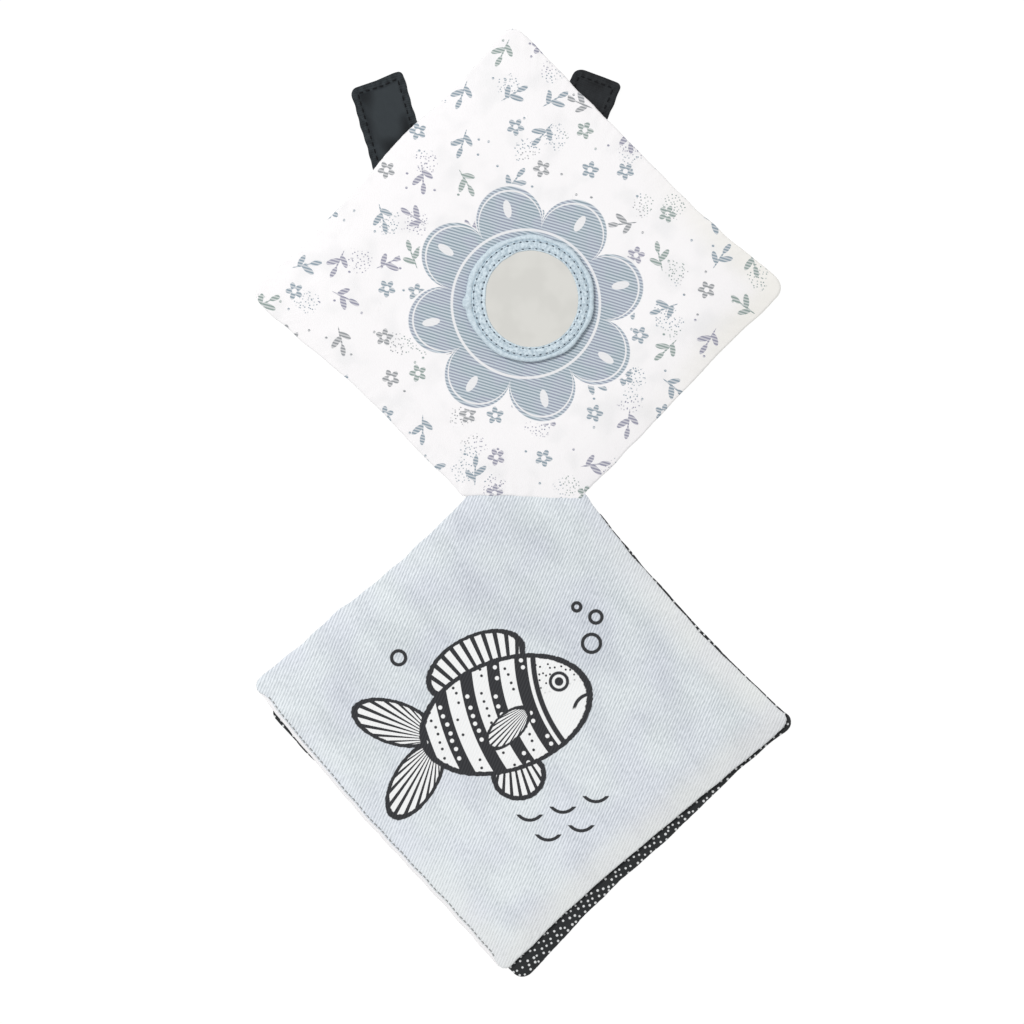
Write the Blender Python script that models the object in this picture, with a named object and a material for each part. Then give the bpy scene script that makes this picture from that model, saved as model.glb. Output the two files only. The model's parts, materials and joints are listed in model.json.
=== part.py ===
"""A cloth crinkle book: three padded leaves joined at one corner, a soft mirror and two straps.

All lengths are in metres. The book lies open on its back: +X runs along the fold, +Y goes from
the fold up the mirror leaf, and +Z points up at the reader. Shapes are first worked out around
the middle of the fold and then moved, so that the origin is the bottom centre of the whole book.
"""

import math

import bmesh
import bpy
import numpy as np
from mathutils import Matrix, Vector

# The leaves: padded squares of two cloths, lying corner up and corner down.
LEAF_SIDE = 0.1415
LEAF_CORNER_RADIUS = 0.0045
LEAF_2_CORNER_RADIUS = 0.0022
LEAF_SIDE_DRAW_IN = 0.0010
LEAF_THICKNESS = 0.0036
CROWN_WIDTH = 0.022
CLOTH_THICKNESS = 0.0005
RIM_CLOTH_GAP = 0.0004
FILM_THICKNESS = 0.00025
FILLING_INSET = 0.010
LAYER_GAP = 0.0003

# The fold, where one corner of each leaf is cut off and sewn to the others.
FOLD_WIDTH = 0.0439
FOLD_GAP = 0.0004
FOLD_AXIS_ABOVE_LEAF = 0.0002
LEAF_3_DROP = 0.0056
DRAPE_LENGTH = 0.040
DRAPE_RIM_CLEARANCE = 0.0004
DRAPE_STIFFNESS = 0.0030
SIDE_DROOP = 0.0024
SIDE_DROOP_START = 0.0620
TAPE_END_INSET = 0.00195
TAPE_THICKNESS = 0.0006
TAPE_ON_LEAF = 0.0080

# How far each leaf is turned at the fold, in degrees, and moved along it.
MIRROR_LEAF_TURN, MIRROR_LEAF_SHIFT = 1.5, -0.0014
LEAF_2_TURN, LEAF_2_SHIFT = -3.3, 0.0021
LEAF_3_TURN, LEAF_3_SHIFT = -1.7, 0.0040

# The soft mirror on the first leaf: backing, mirror film and the ring that frames them.
RING_OPENING_RADIUS = 0.0179
RING_LIP_WIDTH = 0.0026
RING_WALL_WIDTH = 0.0035
RING_LIP_THICKNESS = 0.0007
RING_EDGE_RADIUS = 0.0008
MIRROR_FILM_THICKNESS = 0.0005
MIRROR_BACKING_THICKNESS = 0.0008
MIRROR_EDGE_CLEARANCE = 0.0005
MIRROR_SHIFT_X = 0.0045
MIRROR_SHIFT_Y = -0.0030
OUTER_STITCH_INSET = 0.0024
INNER_STITCH_INSET = 0.0010

# The two straps: a half sewn to the back of the mirror leaf, and a tip that folds over it.
STRAP_WIDTH = 0.0190
STRAP_THICKNESS = 0.0010
STRAP_TIP_LENGTH = 0.0470
STRAP_BASE_LENGTH = 0.0380
STRAP_CORNER_RADIUS = 0.0022
STRAP_FOLD_GAP = 0.0005
PATCH_THICKNESS = 0.0010
HOOK_PATCH_FROM_FOLD = 0.0123
HOOK_PATCH_MARGIN = 0.0007
LOOP_PATCH_FROM_FOLD = 0.0068
LOOP_PATCH_MARGIN = 0.0032
STRAP_LEAN_LEFT, STRAP_LEAN_RIGHT = 16.5, -22.5
STRAP_STITCH_INSET = 0.0019

# The sewing thread.
THREAD_RADIUS = 0.00018
THREAD_GAP = 0.00015
CLOSING_STITCH_INSET = 0.0016

# Places on the mirror leaf, as shares of its half diagonal from its centre.
STRAP_LEFT_FOLD_SHARES = (-0.405, 0.343)
STRAP_RIGHT_FOLD_SHARES = (0.124, 0.373)

# The points along a leaf's side, closer near its corners, as shares of the side's straight part.
SIDE_SHARES = (0.07, 0.20, 0.40, 0.60, 0.80, 0.93)

# The rings of points on a leaf, as shares of the crown's width in from its edge.
CLOTH_RING_SHARES = (0.0, 0.16, 0.38, 0.66, 1.0)

CORNER_STEPS = 4
FOLD_STEPS = 4
ROUND_STEPS = 48
STRAP_CORNER_STEPS = 3
THREAD_SIDES_RESOLUTION = 0
ON_AXIS = 0.00001
SMOOTH_ANGLE = math.radians(45)

# What follows from the sizes above.
HALF_DIAGONAL = LEAF_SIDE / math.sqrt(2)
HALF_SIDE = LEAF_SIDE / 2
CENTRE_FROM_FOLD = HALF_DIAGONAL - FOLD_WIDTH / 2
RIM_THICKNESS = 2 * CLOTH_THICKNESS + RIM_CLOTH_GAP
CROWN_RISE = LEAF_THICKNESS - RIM_THICKNESS
WEBBING_Z = PATCH_THICKNESS + LAYER_GAP
WEBBING_TOP = WEBBING_Z + STRAP_THICKNESS
STITCH_ON_WEBBING_Z = WEBBING_TOP + THREAD_GAP + THREAD_RADIUS
MIRROR_LEAF_Z = STITCH_ON_WEBBING_Z + THREAD_RADIUS + LAYER_GAP
MIRROR_LEAF_TOP = MIRROR_LEAF_Z + LEAF_THICKNESS
FOLD_AXIS_Z = MIRROR_LEAF_TOP + FOLD_AXIS_ABOVE_LEAF
TAPE_TOP = MIRROR_LEAF_Z - LAYER_GAP
TAPE_WIDTH = FOLD_WIDTH - 2 * TAPE_END_INSET
SEAT_RADIUS = RING_OPENING_RADIUS + RING_LIP_WIDTH
RING_OUTER_RADIUS = SEAT_RADIUS + RING_WALL_WIDTH


def clear_scene():
    for obj in list(bpy.data.objects):
        bpy.data.objects.remove(obj, do_unlink=True)


def material(name, color, roughness, metallic=0.0):
    made = bpy.data.materials.new(name)
    made.use_nodes = True
    shader = made.node_tree.nodes["Principled BSDF"]
    shader.inputs["Base Color"].default_value = (*color, 1.0)
    shader.inputs["Roughness"].default_value = roughness
    shader.inputs["Metallic"].default_value = metallic
    return made


def make_materials():
    return {
        "white_cloth": material("white_cloth", (0.90, 0.88, 0.89), 0.90),
        "blue_cloth": material("blue_cloth", (0.63, 0.69, 0.74), 0.90),
        "dotted_cloth": material("dotted_cloth", (0.035, 0.037, 0.038), 0.90),
        "crinkle_film": material("crinkle_film", (0.80, 0.82, 0.84), 0.25),
        "batting": material("batting", (0.92, 0.92, 0.90), 0.95),
        "mirror_film": material("mirror_film", (0.80, 0.79, 0.77), 0.08, 1.0),
        "backing_foam": material("backing_foam", (0.85, 0.85, 0.83), 0.90),
        "ring_felt": material("ring_felt", (0.41, 0.52, 0.60), 0.70),
        "grey_thread": material("grey_thread", (0.13, 0.19, 0.26), 0.80),
        "webbing": material("webbing", (0.018, 0.023, 0.028), 0.75),
        "hook_tape": material("hook_tape", (0.022, 0.026, 0.030), 0.60),
        "black_thread": material("black_thread", (0.008, 0.009, 0.011), 0.70),
    }


def empty(name, parent, location, turn=0.0):
    """An axis or a place that pieces are parented to, turned about Z by an angle in radians."""
    obj = bpy.data.objects.new(name, None)
    bpy.context.scene.collection.objects.link(obj)
    obj.parent = parent
    obj.location = location
    obj.rotation_euler = (0.0, 0.0, turn)
    return obj


def add(name, mesh_or_curve, parent, surface):
    obj = bpy.data.objects.new(name, mesh_or_curve)
    bpy.context.scene.collection.objects.link(obj)
    mesh_or_curve.materials.append(surface)
    obj.parent = parent
    return obj


def turned_by(point, angle):
    return np.array(
        [
            point[0] * math.cos(angle) - point[1] * math.sin(angle),
            point[0] * math.sin(angle) + point[1] * math.cos(angle),
        ]
    )


def rounded_square(radius):
    """A square with round corners and drawn-in sides around (0, 0), from its corner at 45 degrees."""
    corner_centre = HALF_SIDE - radius
    one_quarter = []
    for step in range(CORNER_STEPS + 1):
        angle = step / CORNER_STEPS * math.pi / 2
        along = np.array([math.cos(angle), math.sin(angle)])
        one_quarter.append(np.array([corner_centre, corner_centre]) + radius * along)
    for share in SIDE_SHARES:
        draw_in = LEAF_SIDE_DRAW_IN * math.sin(math.pi * share)
        one_quarter.append(np.array([corner_centre * (1 - 2 * share), HALF_SIDE - draw_in]))
    return [turned_by(point, quarter * math.pi / 2) for quarter in range(4) for point in one_quarter]


def cut_at_fold(outline, side, edge):
    """Keeps the points with side * y past the edge, and divides the straight cut into steps."""
    kept = []
    for here, following in zip(outline, outline[1:] + outline[:1]):
        inside = side * here[1] >= edge
        if inside:
            kept.append(here)
        if inside == (side * following[1] >= edge):
            continue
        share = (side * edge - here[1]) / (following[1] - here[1])
        crossing = here + share * (following - here)
        if not inside:
            start = kept[-1]
            for step in range(1, FOLD_STEPS):
                kept.append(start + step / FOLD_STEPS * (crossing - start))
        kept.append(crossing)
    return np.array(kept)


def eased(share):
    """Rises from 0 to 1 with a flat start and a flat end."""
    share = np.clip(share, 0.0, 1.0)
    return share * share * (3 - 2 * share)


class Leaf:
    """The outline and the two faces of one leaf, around the middle of the fold."""

    def __init__(self, name, side, turn, shift, edge, radius=LEAF_CORNER_RADIUS):
        self.name = name
        angle = math.radians(turn)
        from_fold = CENTRE_FROM_FOLD + edge - FOLD_GAP / 2
        self.centre = turned_by((0.0, side * from_fold), angle) + np.array([shift, 0.0])
        facing = angle + (math.pi / 4 if side > 0 else -3 * math.pi / 4)
        square = [turned_by(point, facing) + self.centre for point in rounded_square(radius)]
        self.outline = cut_at_fold(square, side, edge)

    def inset(self, points):
        """How far each point lies inside the outline, and below zero outside it."""
        start = self.outline
        end = np.roll(start, -1, axis=0)
        along = end - start
        offset = points[:, None, :] - start[None, :, :]
        share = (offset * along).sum(-1) / (along * along).sum(-1)
        nearest = offset - np.clip(share, 0.0, 1.0)[..., None] * along
        distance = np.sqrt((nearest**2).sum(-1)).min(axis=1)
        spans = (start[:, 1] > points[:, None, 1]) != (end[:, 1] > points[:, None, 1])
        rise = np.where(along[:, 1] == 0.0, 1.0, along[:, 1])
        crossing_x = start[:, 0] + (points[:, None, 1] - start[:, 1]) / rise * along[:, 0]
        inside = (spans & (points[:, None, 0] < crossing_x)).sum(axis=1) % 2 == 1
        return np.where(inside, distance, -distance)

    def thickness(self, points, spread=0.0):
        share = np.clip((self.inset(points) + spread) / CROWN_WIDTH, 0.0, 1.0)
        return RIM_THICKNESS + CROWN_RISE * (1 - (1 - share) ** 2)

    def bottom(self, points):
        return np.zeros(len(points))

    def top(self, points):
        return self.bottom(points) + self.thickness(points)

    def ring(self, inset):
        """The outline drawn in towards the centre."""
        return self.centre + (self.outline - self.centre) * (1 - inset / HALF_SIDE)


class MirrorLeaf(Leaf):
    """A leaf that lies on its straps, with the corners to its left and right hanging lower."""

    def bottom(self, points):
        from_middle = np.abs(points[:, 0] - self.centre[0]) - SIDE_DROOP_START
        return MIRROR_LEAF_Z - SIDE_DROOP * eased(from_middle / (HALF_DIAGONAL - SIDE_DROOP_START))


class DrapedLeaf(Leaf):
    """A leaf that comes off the fold at the mirror leaf's height and lies on the leaf below."""

    def __init__(self, below, *leaf):
        super().__init__(*leaf)
        self.below = below

    def bottom(self, points):
        low = RIM_THICKNESS + DRAPE_RIM_CLEARANCE
        hanging = MIRROR_LEAF_Z + (low - MIRROR_LEAF_Z) * eased(-points[:, 1] / DRAPE_LENGTH)
        lying = self.below.bottom(points) + self.below.thickness(points, DRAPE_STIFFNESS)
        return np.maximum(hanging, lying + LAYER_GAP)


def layer(name, leaf, insets, low, high, surface, parent):
    """One cloth, film or filling: a solid between two heights, on rings of points and a centre."""
    rings = [leaf.ring(inset) for inset in insets]
    flat = np.concatenate([*rings, [leaf.centre]])
    count, last = len(leaf.outline), len(flat)
    vertices = [(x, y, z) for z_of in (high, low) for (x, y), z in zip(flat, z_of(flat))]
    faces = []
    for at in range(count):
        after = (at + 1) % count
        for ring in range(len(rings) - 1):
            outer, inner = ring * count, (ring + 1) * count
            top_face = (outer + at, outer + after, inner + after, inner + at)
            faces.append(top_face)
            faces.append([last + index for index in reversed(top_face)])
        inner = (len(rings) - 1) * count
        faces.append((inner + at, inner + after, last - 1))
        faces.append((2 * last - 1, last + inner + after, last + inner + at))
        faces.append((last + at, last + after, after, at))
    mesh = bpy.data.meshes.new(name)
    mesh.from_pydata(vertices, [], faces)
    mesh.transform(Matrix.Translation(-joint_place(parent)))
    mesh.shade_smooth()
    mesh.set_sharp_from_angle(angle=SMOOTH_ANGLE)
    return add(name, mesh, parent, surface)


def joint_place(parent):
    """Where a parent empty stands, from the middle of the fold."""
    place = Vector()
    while parent.parent:
        place += parent.location
        parent = parent.parent
    return place


def make_leaf(leaf, front, back, surfaces, parent):
    """Front cloth, crinkle film, batting and back cloth, each a layer gap from the next."""
    cloth_insets = [share * CROWN_WIDTH for share in CLOTH_RING_SHARES]
    filling_insets = [FILLING_INSET, (FILLING_INSET + CROWN_WIDTH) / 2, CROWN_WIDTH]
    film_top = CLOTH_THICKNESS + LAYER_GAP
    film_bottom = film_top + FILM_THICKNESS

    def below_top(depth):
        return lambda points: leaf.top(points) - depth

    def above_bottom(height):
        return lambda points: leaf.bottom(points) + height

    layer(
        leaf.name + "_front_cloth", leaf, cloth_insets,
        below_top(CLOTH_THICKNESS), below_top(0.0), surfaces[front], parent,
    )
    layer(
        leaf.name + "_crinkle_film", leaf, filling_insets,
        below_top(film_bottom), below_top(film_top), surfaces["crinkle_film"], parent,
    )
    layer(
        leaf.name + "_batting", leaf, filling_insets,
        above_bottom(film_top), below_top(film_bottom + LAYER_GAP), surfaces["batting"], parent,
    )
    layer(
        leaf.name + "_back_cloth", leaf, cloth_insets,
        above_bottom(0.0), above_bottom(CLOTH_THICKNESS), surfaces[back], parent,
    )


def prism(name, outline, along, surface, parent):
    """A flat outline of 3-D points, extruded along a vector."""
    shape = bmesh.new()
    face = shape.faces.new([shape.verts.new(point) for point in outline])
    grown = bmesh.ops.extrude_face_region(shape, geom=[face])
    moved = [item for item in grown["geom"] if isinstance(item, bmesh.types.BMVert)]
    bmesh.ops.translate(shape, verts=moved, vec=along)
    bmesh.ops.recalc_face_normals(shape, faces=shape.faces)
    mesh = bpy.data.meshes.new(name)
    shape.to_mesh(mesh)
    shape.free()
    return add(name, mesh, parent, surface)


def turned_piece(name, profile, surface, parent):
    """A closed profile of (radius, height) points, spun about the parent's Z axis."""
    shape = bmesh.new()
    rim = [shape.verts.new((radius, 0.0, height)) for radius, height in profile]
    edges = [shape.edges.new((rim[at], rim[(at + 1) % len(rim)])) for at in range(len(rim))]
    bmesh.ops.spin(
        shape, geom=rim + edges, cent=(0.0, 0.0, 0.0), axis=(0.0, 0.0, 1.0),
        angle=2 * math.pi, steps=ROUND_STEPS, use_merge=True,
    )
    on_axis = [vert for vert in shape.verts if math.hypot(vert.co.x, vert.co.y) < ON_AXIS]
    bmesh.ops.remove_doubles(shape, verts=on_axis, dist=ON_AXIS)
    inner_edges = [edge for edge in shape.edges if not edge.link_faces]
    bmesh.ops.delete(shape, geom=inner_edges, context="EDGES")
    bmesh.ops.recalc_face_normals(shape, faces=shape.faces)
    mesh = bpy.data.meshes.new(name)
    shape.to_mesh(mesh)
    shape.free()
    mesh.shade_smooth()
    mesh.set_sharp_from_angle(angle=SMOOTH_ANGLE)
    return add(name, mesh, parent, surface)


def thread(name, points, closed, surface, parent):
    curve = bpy.data.curves.new(name, "CURVE")
    curve.dimensions = "3D"
    spline = curve.splines.new("POLY")
    spline.points.add(len(points) - 1)
    for spot, point in zip(spline.points, points):
        spot.co = (*point, 1.0)
    spline.use_cyclic_u = closed
    curve.bevel_depth = THREAD_RADIUS
    curve.bevel_resolution = THREAD_SIDES_RESOLUTION
    curve.use_fill_caps = not closed
    return add(name, curve, parent, surface)


def make_mirror(surfaces, parent, leaf):
    """Backing and mirror film inside a ring whose lip holds them by their edges."""
    place = Vector((*(leaf.centre + np.array([MIRROR_SHIFT_X, MIRROR_SHIFT_Y])), MIRROR_LEAF_TOP))
    at_mirror = empty("mirror_centre", parent, place)
    disc_radius = SEAT_RADIUS - MIRROR_EDGE_CLEARANCE
    backing_top = LAYER_GAP + MIRROR_BACKING_THICKNESS
    film_bottom = backing_top + LAYER_GAP
    film_top = film_bottom + MIRROR_FILM_THICKNESS
    lip_bottom = film_top + LAYER_GAP
    ring_top = lip_bottom + RING_LIP_THICKNESS
    backing = [(0.0, LAYER_GAP), (disc_radius, LAYER_GAP), (disc_radius, backing_top), (0.0, backing_top)]
    turned_piece("mirror_backing", backing, surfaces["backing_foam"], at_mirror)
    film = [(0.0, film_bottom), (disc_radius, film_bottom), (disc_radius, film_top), (0.0, film_top)]
    turned_piece("mirror_film", film, surfaces["mirror_film"], at_mirror)
    ring = [
        (SEAT_RADIUS, LAYER_GAP),
        (RING_OUTER_RADIUS, LAYER_GAP),
        (RING_OUTER_RADIUS, ring_top - RING_EDGE_RADIUS),
        (RING_OUTER_RADIUS - RING_EDGE_RADIUS, ring_top),
        (RING_OPENING_RADIUS, ring_top),
        (RING_OPENING_RADIUS, lip_bottom),
        (SEAT_RADIUS, lip_bottom),
    ]
    turned_piece("mirror_ring", ring, surfaces["ring_felt"], at_mirror)
    row_height = ring_top + THREAD_GAP + THREAD_RADIUS
    outer_row = RING_OUTER_RADIUS - OUTER_STITCH_INSET
    inner_row = RING_OPENING_RADIUS + INNER_STITCH_INSET
    for name, radius in (("outer", outer_row), ("inner", inner_row)):
        turns = [2 * math.pi * step / ROUND_STEPS for step in range(ROUND_STEPS)]
        row = [(radius * math.cos(turn), radius * math.sin(turn), row_height) for turn in turns]
        thread(f"mirror_ring_{name}_stitching", row, True, surfaces["grey_thread"], at_mirror)


def strip(start, end, width, corner_radius, height):
    """An outline along +Y from start to end, with its far corners rounded."""
    half = width / 2
    points = [(-half, start, height), (half, start, height)]
    for side, first in ((1, 0.0), (-1, math.pi / 2)):
        for step in range(STRAP_CORNER_STEPS + 1 if corner_radius else 1):
            angle = first + step / STRAP_CORNER_STEPS * math.pi / 2
            middle_x = side * (half - corner_radius)
            x = middle_x + corner_radius * math.cos(angle)
            y = end - corner_radius + corner_radius * math.sin(angle)
            points.append((x if corner_radius else side * half, y if corner_radius else end, height))
    return points


def stitch_box(start, end, width, height):
    """A closed row of stitches: the four corners and the middles of the long sides."""
    half = width / 2
    middle = (start + end) / 2
    flat = [(-half, start), (half, start), (half, middle), (half, end), (-half, end), (-half, middle)]
    return [(x, y, height) for x, y in flat]


def make_strap(side, shares, lean, surfaces, parent, leaf):
    """A strap along its own +Y: the tip beyond its fold line, the sewn half before it."""
    spot = leaf.centre + HALF_DIAGONAL * np.array(shares)
    fold = empty(f"strap_{side}_fold_axis", parent, (*spot, 0.0), math.radians(lean))
    name = f"strap_{side}"
    up = Vector((0.0, 0.0, 1.0))
    tip_start = STRAP_FOLD_GAP / 2
    webbing, hook_tape, black = (surfaces[key] for key in ("webbing", "hook_tape", "black_thread"))
    tip = strip(tip_start, STRAP_TIP_LENGTH, STRAP_WIDTH, STRAP_CORNER_RADIUS, WEBBING_Z)
    prism(name + "_tip_webbing", tip, up * STRAP_THICKNESS, webbing, fold)
    base = strip(-STRAP_BASE_LENGTH, -tip_start, STRAP_WIDTH, 0.0, WEBBING_Z)
    prism(name + "_base_webbing", base, up * STRAP_THICKNESS, webbing, fold)

    hook_end = STRAP_TIP_LENGTH - HOOK_PATCH_MARGIN
    hook_width = STRAP_WIDTH - 2 * HOOK_PATCH_MARGIN
    hook = strip(HOOK_PATCH_FROM_FOLD, hook_end, hook_width, STRAP_CORNER_RADIUS, 0.0)
    prism(name + "_hook_patch", hook, up * PATCH_THICKNESS, hook_tape, fold)
    loop_start = -STRAP_BASE_LENGTH + LOOP_PATCH_MARGIN
    loop_width = STRAP_WIDTH - 2 * LOOP_PATCH_MARGIN
    loop = strip(loop_start, -LOOP_PATCH_FROM_FOLD, loop_width, 0.0, 0.0)
    prism(name + "_loop_patch", loop, up * PATCH_THICKNESS, hook_tape, fold)

    row_width = STRAP_WIDTH - 2 * STRAP_STITCH_INSET
    tip_end = STRAP_TIP_LENGTH - STRAP_STITCH_INSET
    tip_row = stitch_box(HOOK_PATCH_FROM_FOLD, tip_end, row_width, STITCH_ON_WEBBING_Z)
    thread(name + "_tip_stitching", tip_row, True, black, fold)
    under_webbing = WEBBING_Z - THREAD_GAP - THREAD_RADIUS
    base_start = -STRAP_BASE_LENGTH + STRAP_STITCH_INSET
    base_row = stitch_box(base_start, -STRAP_STITCH_INSET, row_width, under_webbing)
    thread(name + "_base_stitching", base_row, True, black, fold)


def make_binding_tape(surfaces, root, leaf_2_axis):
    """The tape sewn under the fold: one half on the mirror leaf, one reaching down to leaf 3."""
    half = TAPE_WIDTH / 2
    start = FOLD_GAP / 2
    across = Vector((TAPE_WIDTH, 0.0, 0.0))
    upper = [
        (-half, start, TAPE_TOP - TAPE_THICKNESS),
        (-half, TAPE_ON_LEAF, TAPE_TOP - TAPE_THICKNESS),
        (-half, TAPE_ON_LEAF, TAPE_TOP),
        (-half, start, TAPE_TOP),
    ]
    prism("binding_tape_upper", upper, across, surfaces["white_cloth"], root)
    far = -LEAF_3_DROP + LAYER_GAP
    lower = [
        (-half, -start, TAPE_TOP - TAPE_THICKNESS),
        (-half, far, RIM_THICKNESS - TAPE_THICKNESS),
        (-half, far, RIM_THICKNESS),
        (-half, -start, TAPE_TOP),
    ]
    moved = [Vector(point) - joint_place(leaf_2_axis) for point in lower]
    prism("binding_tape_lower", moved, across, surfaces["white_cloth"], leaf_2_axis)


def make_closing_stitching(surfaces, parent, leaf):
    """The row that closes leaf 2 along its lower left side, which its outline ends with."""
    flat = leaf.ring(CLOSING_STITCH_INSET)[-len(SIDE_SHARES):]
    heights = leaf.top(flat) + THREAD_GAP + THREAD_RADIUS
    offset = joint_place(parent)
    row = [Vector((x, y, z)) - offset for (x, y), z in zip(flat, heights)]
    thread("leaf_2_closing_stitching", row, False, surfaces["grey_thread"], parent)


def bottom_centre():
    """Moves the middle of the fold so that the origin is under the middle of the book."""
    bpy.context.view_layer.update()
    corners = [
        obj.matrix_world @ Vector(corner)
        for obj in bpy.context.scene.objects
        if obj.type != "EMPTY"
        for corner in obj.bound_box
    ]
    corners = np.array(corners)
    middle = (corners.max(axis=0) + corners.min(axis=0)) / 2
    return Vector((-middle[0], -middle[1], 0.0))


def main():
    clear_scene()
    surfaces = make_materials()
    book = empty("book", None, (0.0, 0.0, 0.0))
    edge = FOLD_GAP / 2
    mirror_leaf = MirrorLeaf("mirror_leaf", 1, MIRROR_LEAF_TURN, MIRROR_LEAF_SHIFT, edge)
    leaf_3 = Leaf("leaf_3", -1, LEAF_3_TURN, LEAF_3_SHIFT, LEAF_3_DROP)
    leaf_2 = DrapedLeaf(leaf_3, "leaf_2", -1, LEAF_2_TURN, LEAF_2_SHIFT, edge, LEAF_2_CORNER_RADIUS)

    leaf_2_axis = empty("leaf_2_fold_axis", book, (0.0, 0.0, FOLD_AXIS_Z))
    leaf_3_axis = empty("leaf_3_fold_axis", leaf_2_axis, (0.0, -LEAF_3_DROP, -FOLD_AXIS_Z))
    make_leaf(mirror_leaf, "white_cloth", "white_cloth", surfaces, book)
    make_leaf(leaf_2, "blue_cloth", "white_cloth", surfaces, leaf_2_axis)
    make_leaf(leaf_3, "dotted_cloth", "blue_cloth", surfaces, leaf_3_axis)
    make_mirror(surfaces, book, mirror_leaf)
    make_strap("left", STRAP_LEFT_FOLD_SHARES, STRAP_LEAN_LEFT, surfaces, book, mirror_leaf)
    make_strap("right", STRAP_RIGHT_FOLD_SHARES, STRAP_LEAN_RIGHT, surfaces, book, mirror_leaf)
    make_binding_tape(surfaces, book, leaf_2_axis)
    make_closing_stitching(surfaces, leaf_2_axis, leaf_2)
    book.location = bottom_centre()


main()
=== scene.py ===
"""The looks of the crinkle book: cloth, prints, mirror, stitches and straps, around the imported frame.

All lengths are in metres, apart from the coordinates that the materials read, which are in
millimetres. +X runs along the fold, +Y up the mirror leaf and +Z up at the reader.
"""

import json
import math

import bmesh
import bpy
import numpy as np
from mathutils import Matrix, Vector


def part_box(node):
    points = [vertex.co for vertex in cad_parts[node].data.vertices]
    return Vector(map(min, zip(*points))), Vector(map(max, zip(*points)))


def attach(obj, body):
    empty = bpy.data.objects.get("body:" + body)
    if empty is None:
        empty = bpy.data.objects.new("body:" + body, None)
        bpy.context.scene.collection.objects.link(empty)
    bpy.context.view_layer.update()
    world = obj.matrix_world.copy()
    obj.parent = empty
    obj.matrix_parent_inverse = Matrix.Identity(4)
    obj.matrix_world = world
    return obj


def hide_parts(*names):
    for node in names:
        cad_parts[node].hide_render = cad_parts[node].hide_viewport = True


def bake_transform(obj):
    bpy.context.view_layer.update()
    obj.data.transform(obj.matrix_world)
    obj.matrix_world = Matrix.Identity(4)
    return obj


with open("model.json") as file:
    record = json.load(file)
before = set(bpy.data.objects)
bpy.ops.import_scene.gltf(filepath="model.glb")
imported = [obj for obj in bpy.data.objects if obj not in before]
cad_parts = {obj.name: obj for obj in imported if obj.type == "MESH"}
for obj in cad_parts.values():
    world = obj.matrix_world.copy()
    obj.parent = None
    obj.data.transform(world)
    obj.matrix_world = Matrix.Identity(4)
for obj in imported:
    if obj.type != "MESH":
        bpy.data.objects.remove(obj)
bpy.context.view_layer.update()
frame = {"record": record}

MM = 0.001
TURN = 2 * math.pi
JOINTS = {joint["name"]: joint for joint in frame["record"]["behaviour"]["joints"]}

# The leaves, with the sizes of the frame's own solids.
LEAF_SIDE = 0.1415
HALF_SIDE = LEAF_SIDE / 2
HALF_DIAGONAL = LEAF_SIDE / math.sqrt(2)
LEAF_CORNER_RADIUS, LEAF_2_CORNER_RADIUS = 0.0045, 0.0022
LEAF_THICKNESS, RIM_THICKNESS = 0.0036, 0.0014
CROWN_WIDTH, CROWN_RISE = 0.022, LEAF_THICKNESS - RIM_THICKNESS
CLOTH_THICKNESS, FILM_THICKNESS = 0.0005, 0.00025
LAYER_GAP = 0.0003
FILLING_INSET = 0.010
FOLD_WIDTH, FOLD_GAP = 0.0439, 0.0004
CENTRE_FROM_FOLD = HALF_DIAGONAL - FOLD_WIDTH / 2
LEAF_3_DROP, LEAF_3_BEND = 0.0056, 0.006
DRAPE_LENGTH, DRAPE_RIM_CLEARANCE, DRAPE_STIFFNESS = 0.040, 0.0004, 0.0030
SIDE_DROOP, SIDE_DROOP_START = 0.0024, 0.0620

# How far each leaf is turned, in degrees, and moved along the fold.
MIRROR_LEAF_SET, LEAF_2_SET, LEAF_3_SET = (1.5, -0.0014), (-3.3, 0.0021), (-1.7, 0.0040)

# How the sides bow, in millimetres: by the way that a side faces, how far along it from its middle,
# counterclockwise, and how far out of the straight line.
MIRROR_LEAF_BOWS = {
    45: ((-62, 0.3), (-52, -0.8), (-38, -1.6), (-24, -1.9), (6, -0.9), (42, 0.2), (60, 1.3)),
    135: ((-62, 0.6), (-52, -0.4), (-34, -0.7), (-20, 1.0), (-6, 1.3), (10, 0.1), (46, 0.0), (60, 1.8)),
    225: ((-62, 0.2), (-44, -0.8), (-22, -2.2), (-4, -2.0), (14, -0.8), (39, -0.3)),
    315: ((-39, 0.2), (-24, 0.9), (42, 0.9), (60, 2.2)),
}
LEAF_2_BOWS = {
    45: ((-62, 0.4), (-44, -1.1), (-28, -2.3), (16, -2.1), (28, -1.3), (39, -0.3)),
    135: ((-39, 1.0), (-24, 0.3), (-4, -0.4), (14, 0.0), (30, 1.5), (46, 1.0), (66, 2.1)),
    225: ((-66, 0.3), (-56, 1.5), (-10, 2.7), (44, 1.7), (60, 1.9)),
    315: ((-62, 1.0), (-44, -0.2), (-20, -0.4), (20, 0.9), (62, 2.5)),
}
LEAF_3_BOWS = {
    45: ((-66, 0.9), (-56, -0.2), (-36, -1.0), (-20, -1.2), (14, -0.5), (30, 0.6), (42, 1.7)),
    135: ((-38, -0.8), (60, -0.8)),
    225: ((-66, 0.0), (-52, 0.5), (-34, -0.4), (40, -0.4), (64, 0.6)),
    315: ((-66, -0.1), (-36, -2.2), (-16, -2.5), (4, -1.6), (46, -2.2), (66, -0.8)),
}
BOW_SPREAD = 9

# The middle of the fold, and the height of the mirror leaf.
FOLD = np.array(JOINTS["leaf_2_fold"]["pos_m"][:2])
FOLD_Z = JOINTS["leaf_2_fold"]["pos_m"][2]
MIRROR_LEAF_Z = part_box("mirror_leaf_front_cloth")[1].z - LEAF_THICKNESS

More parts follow.
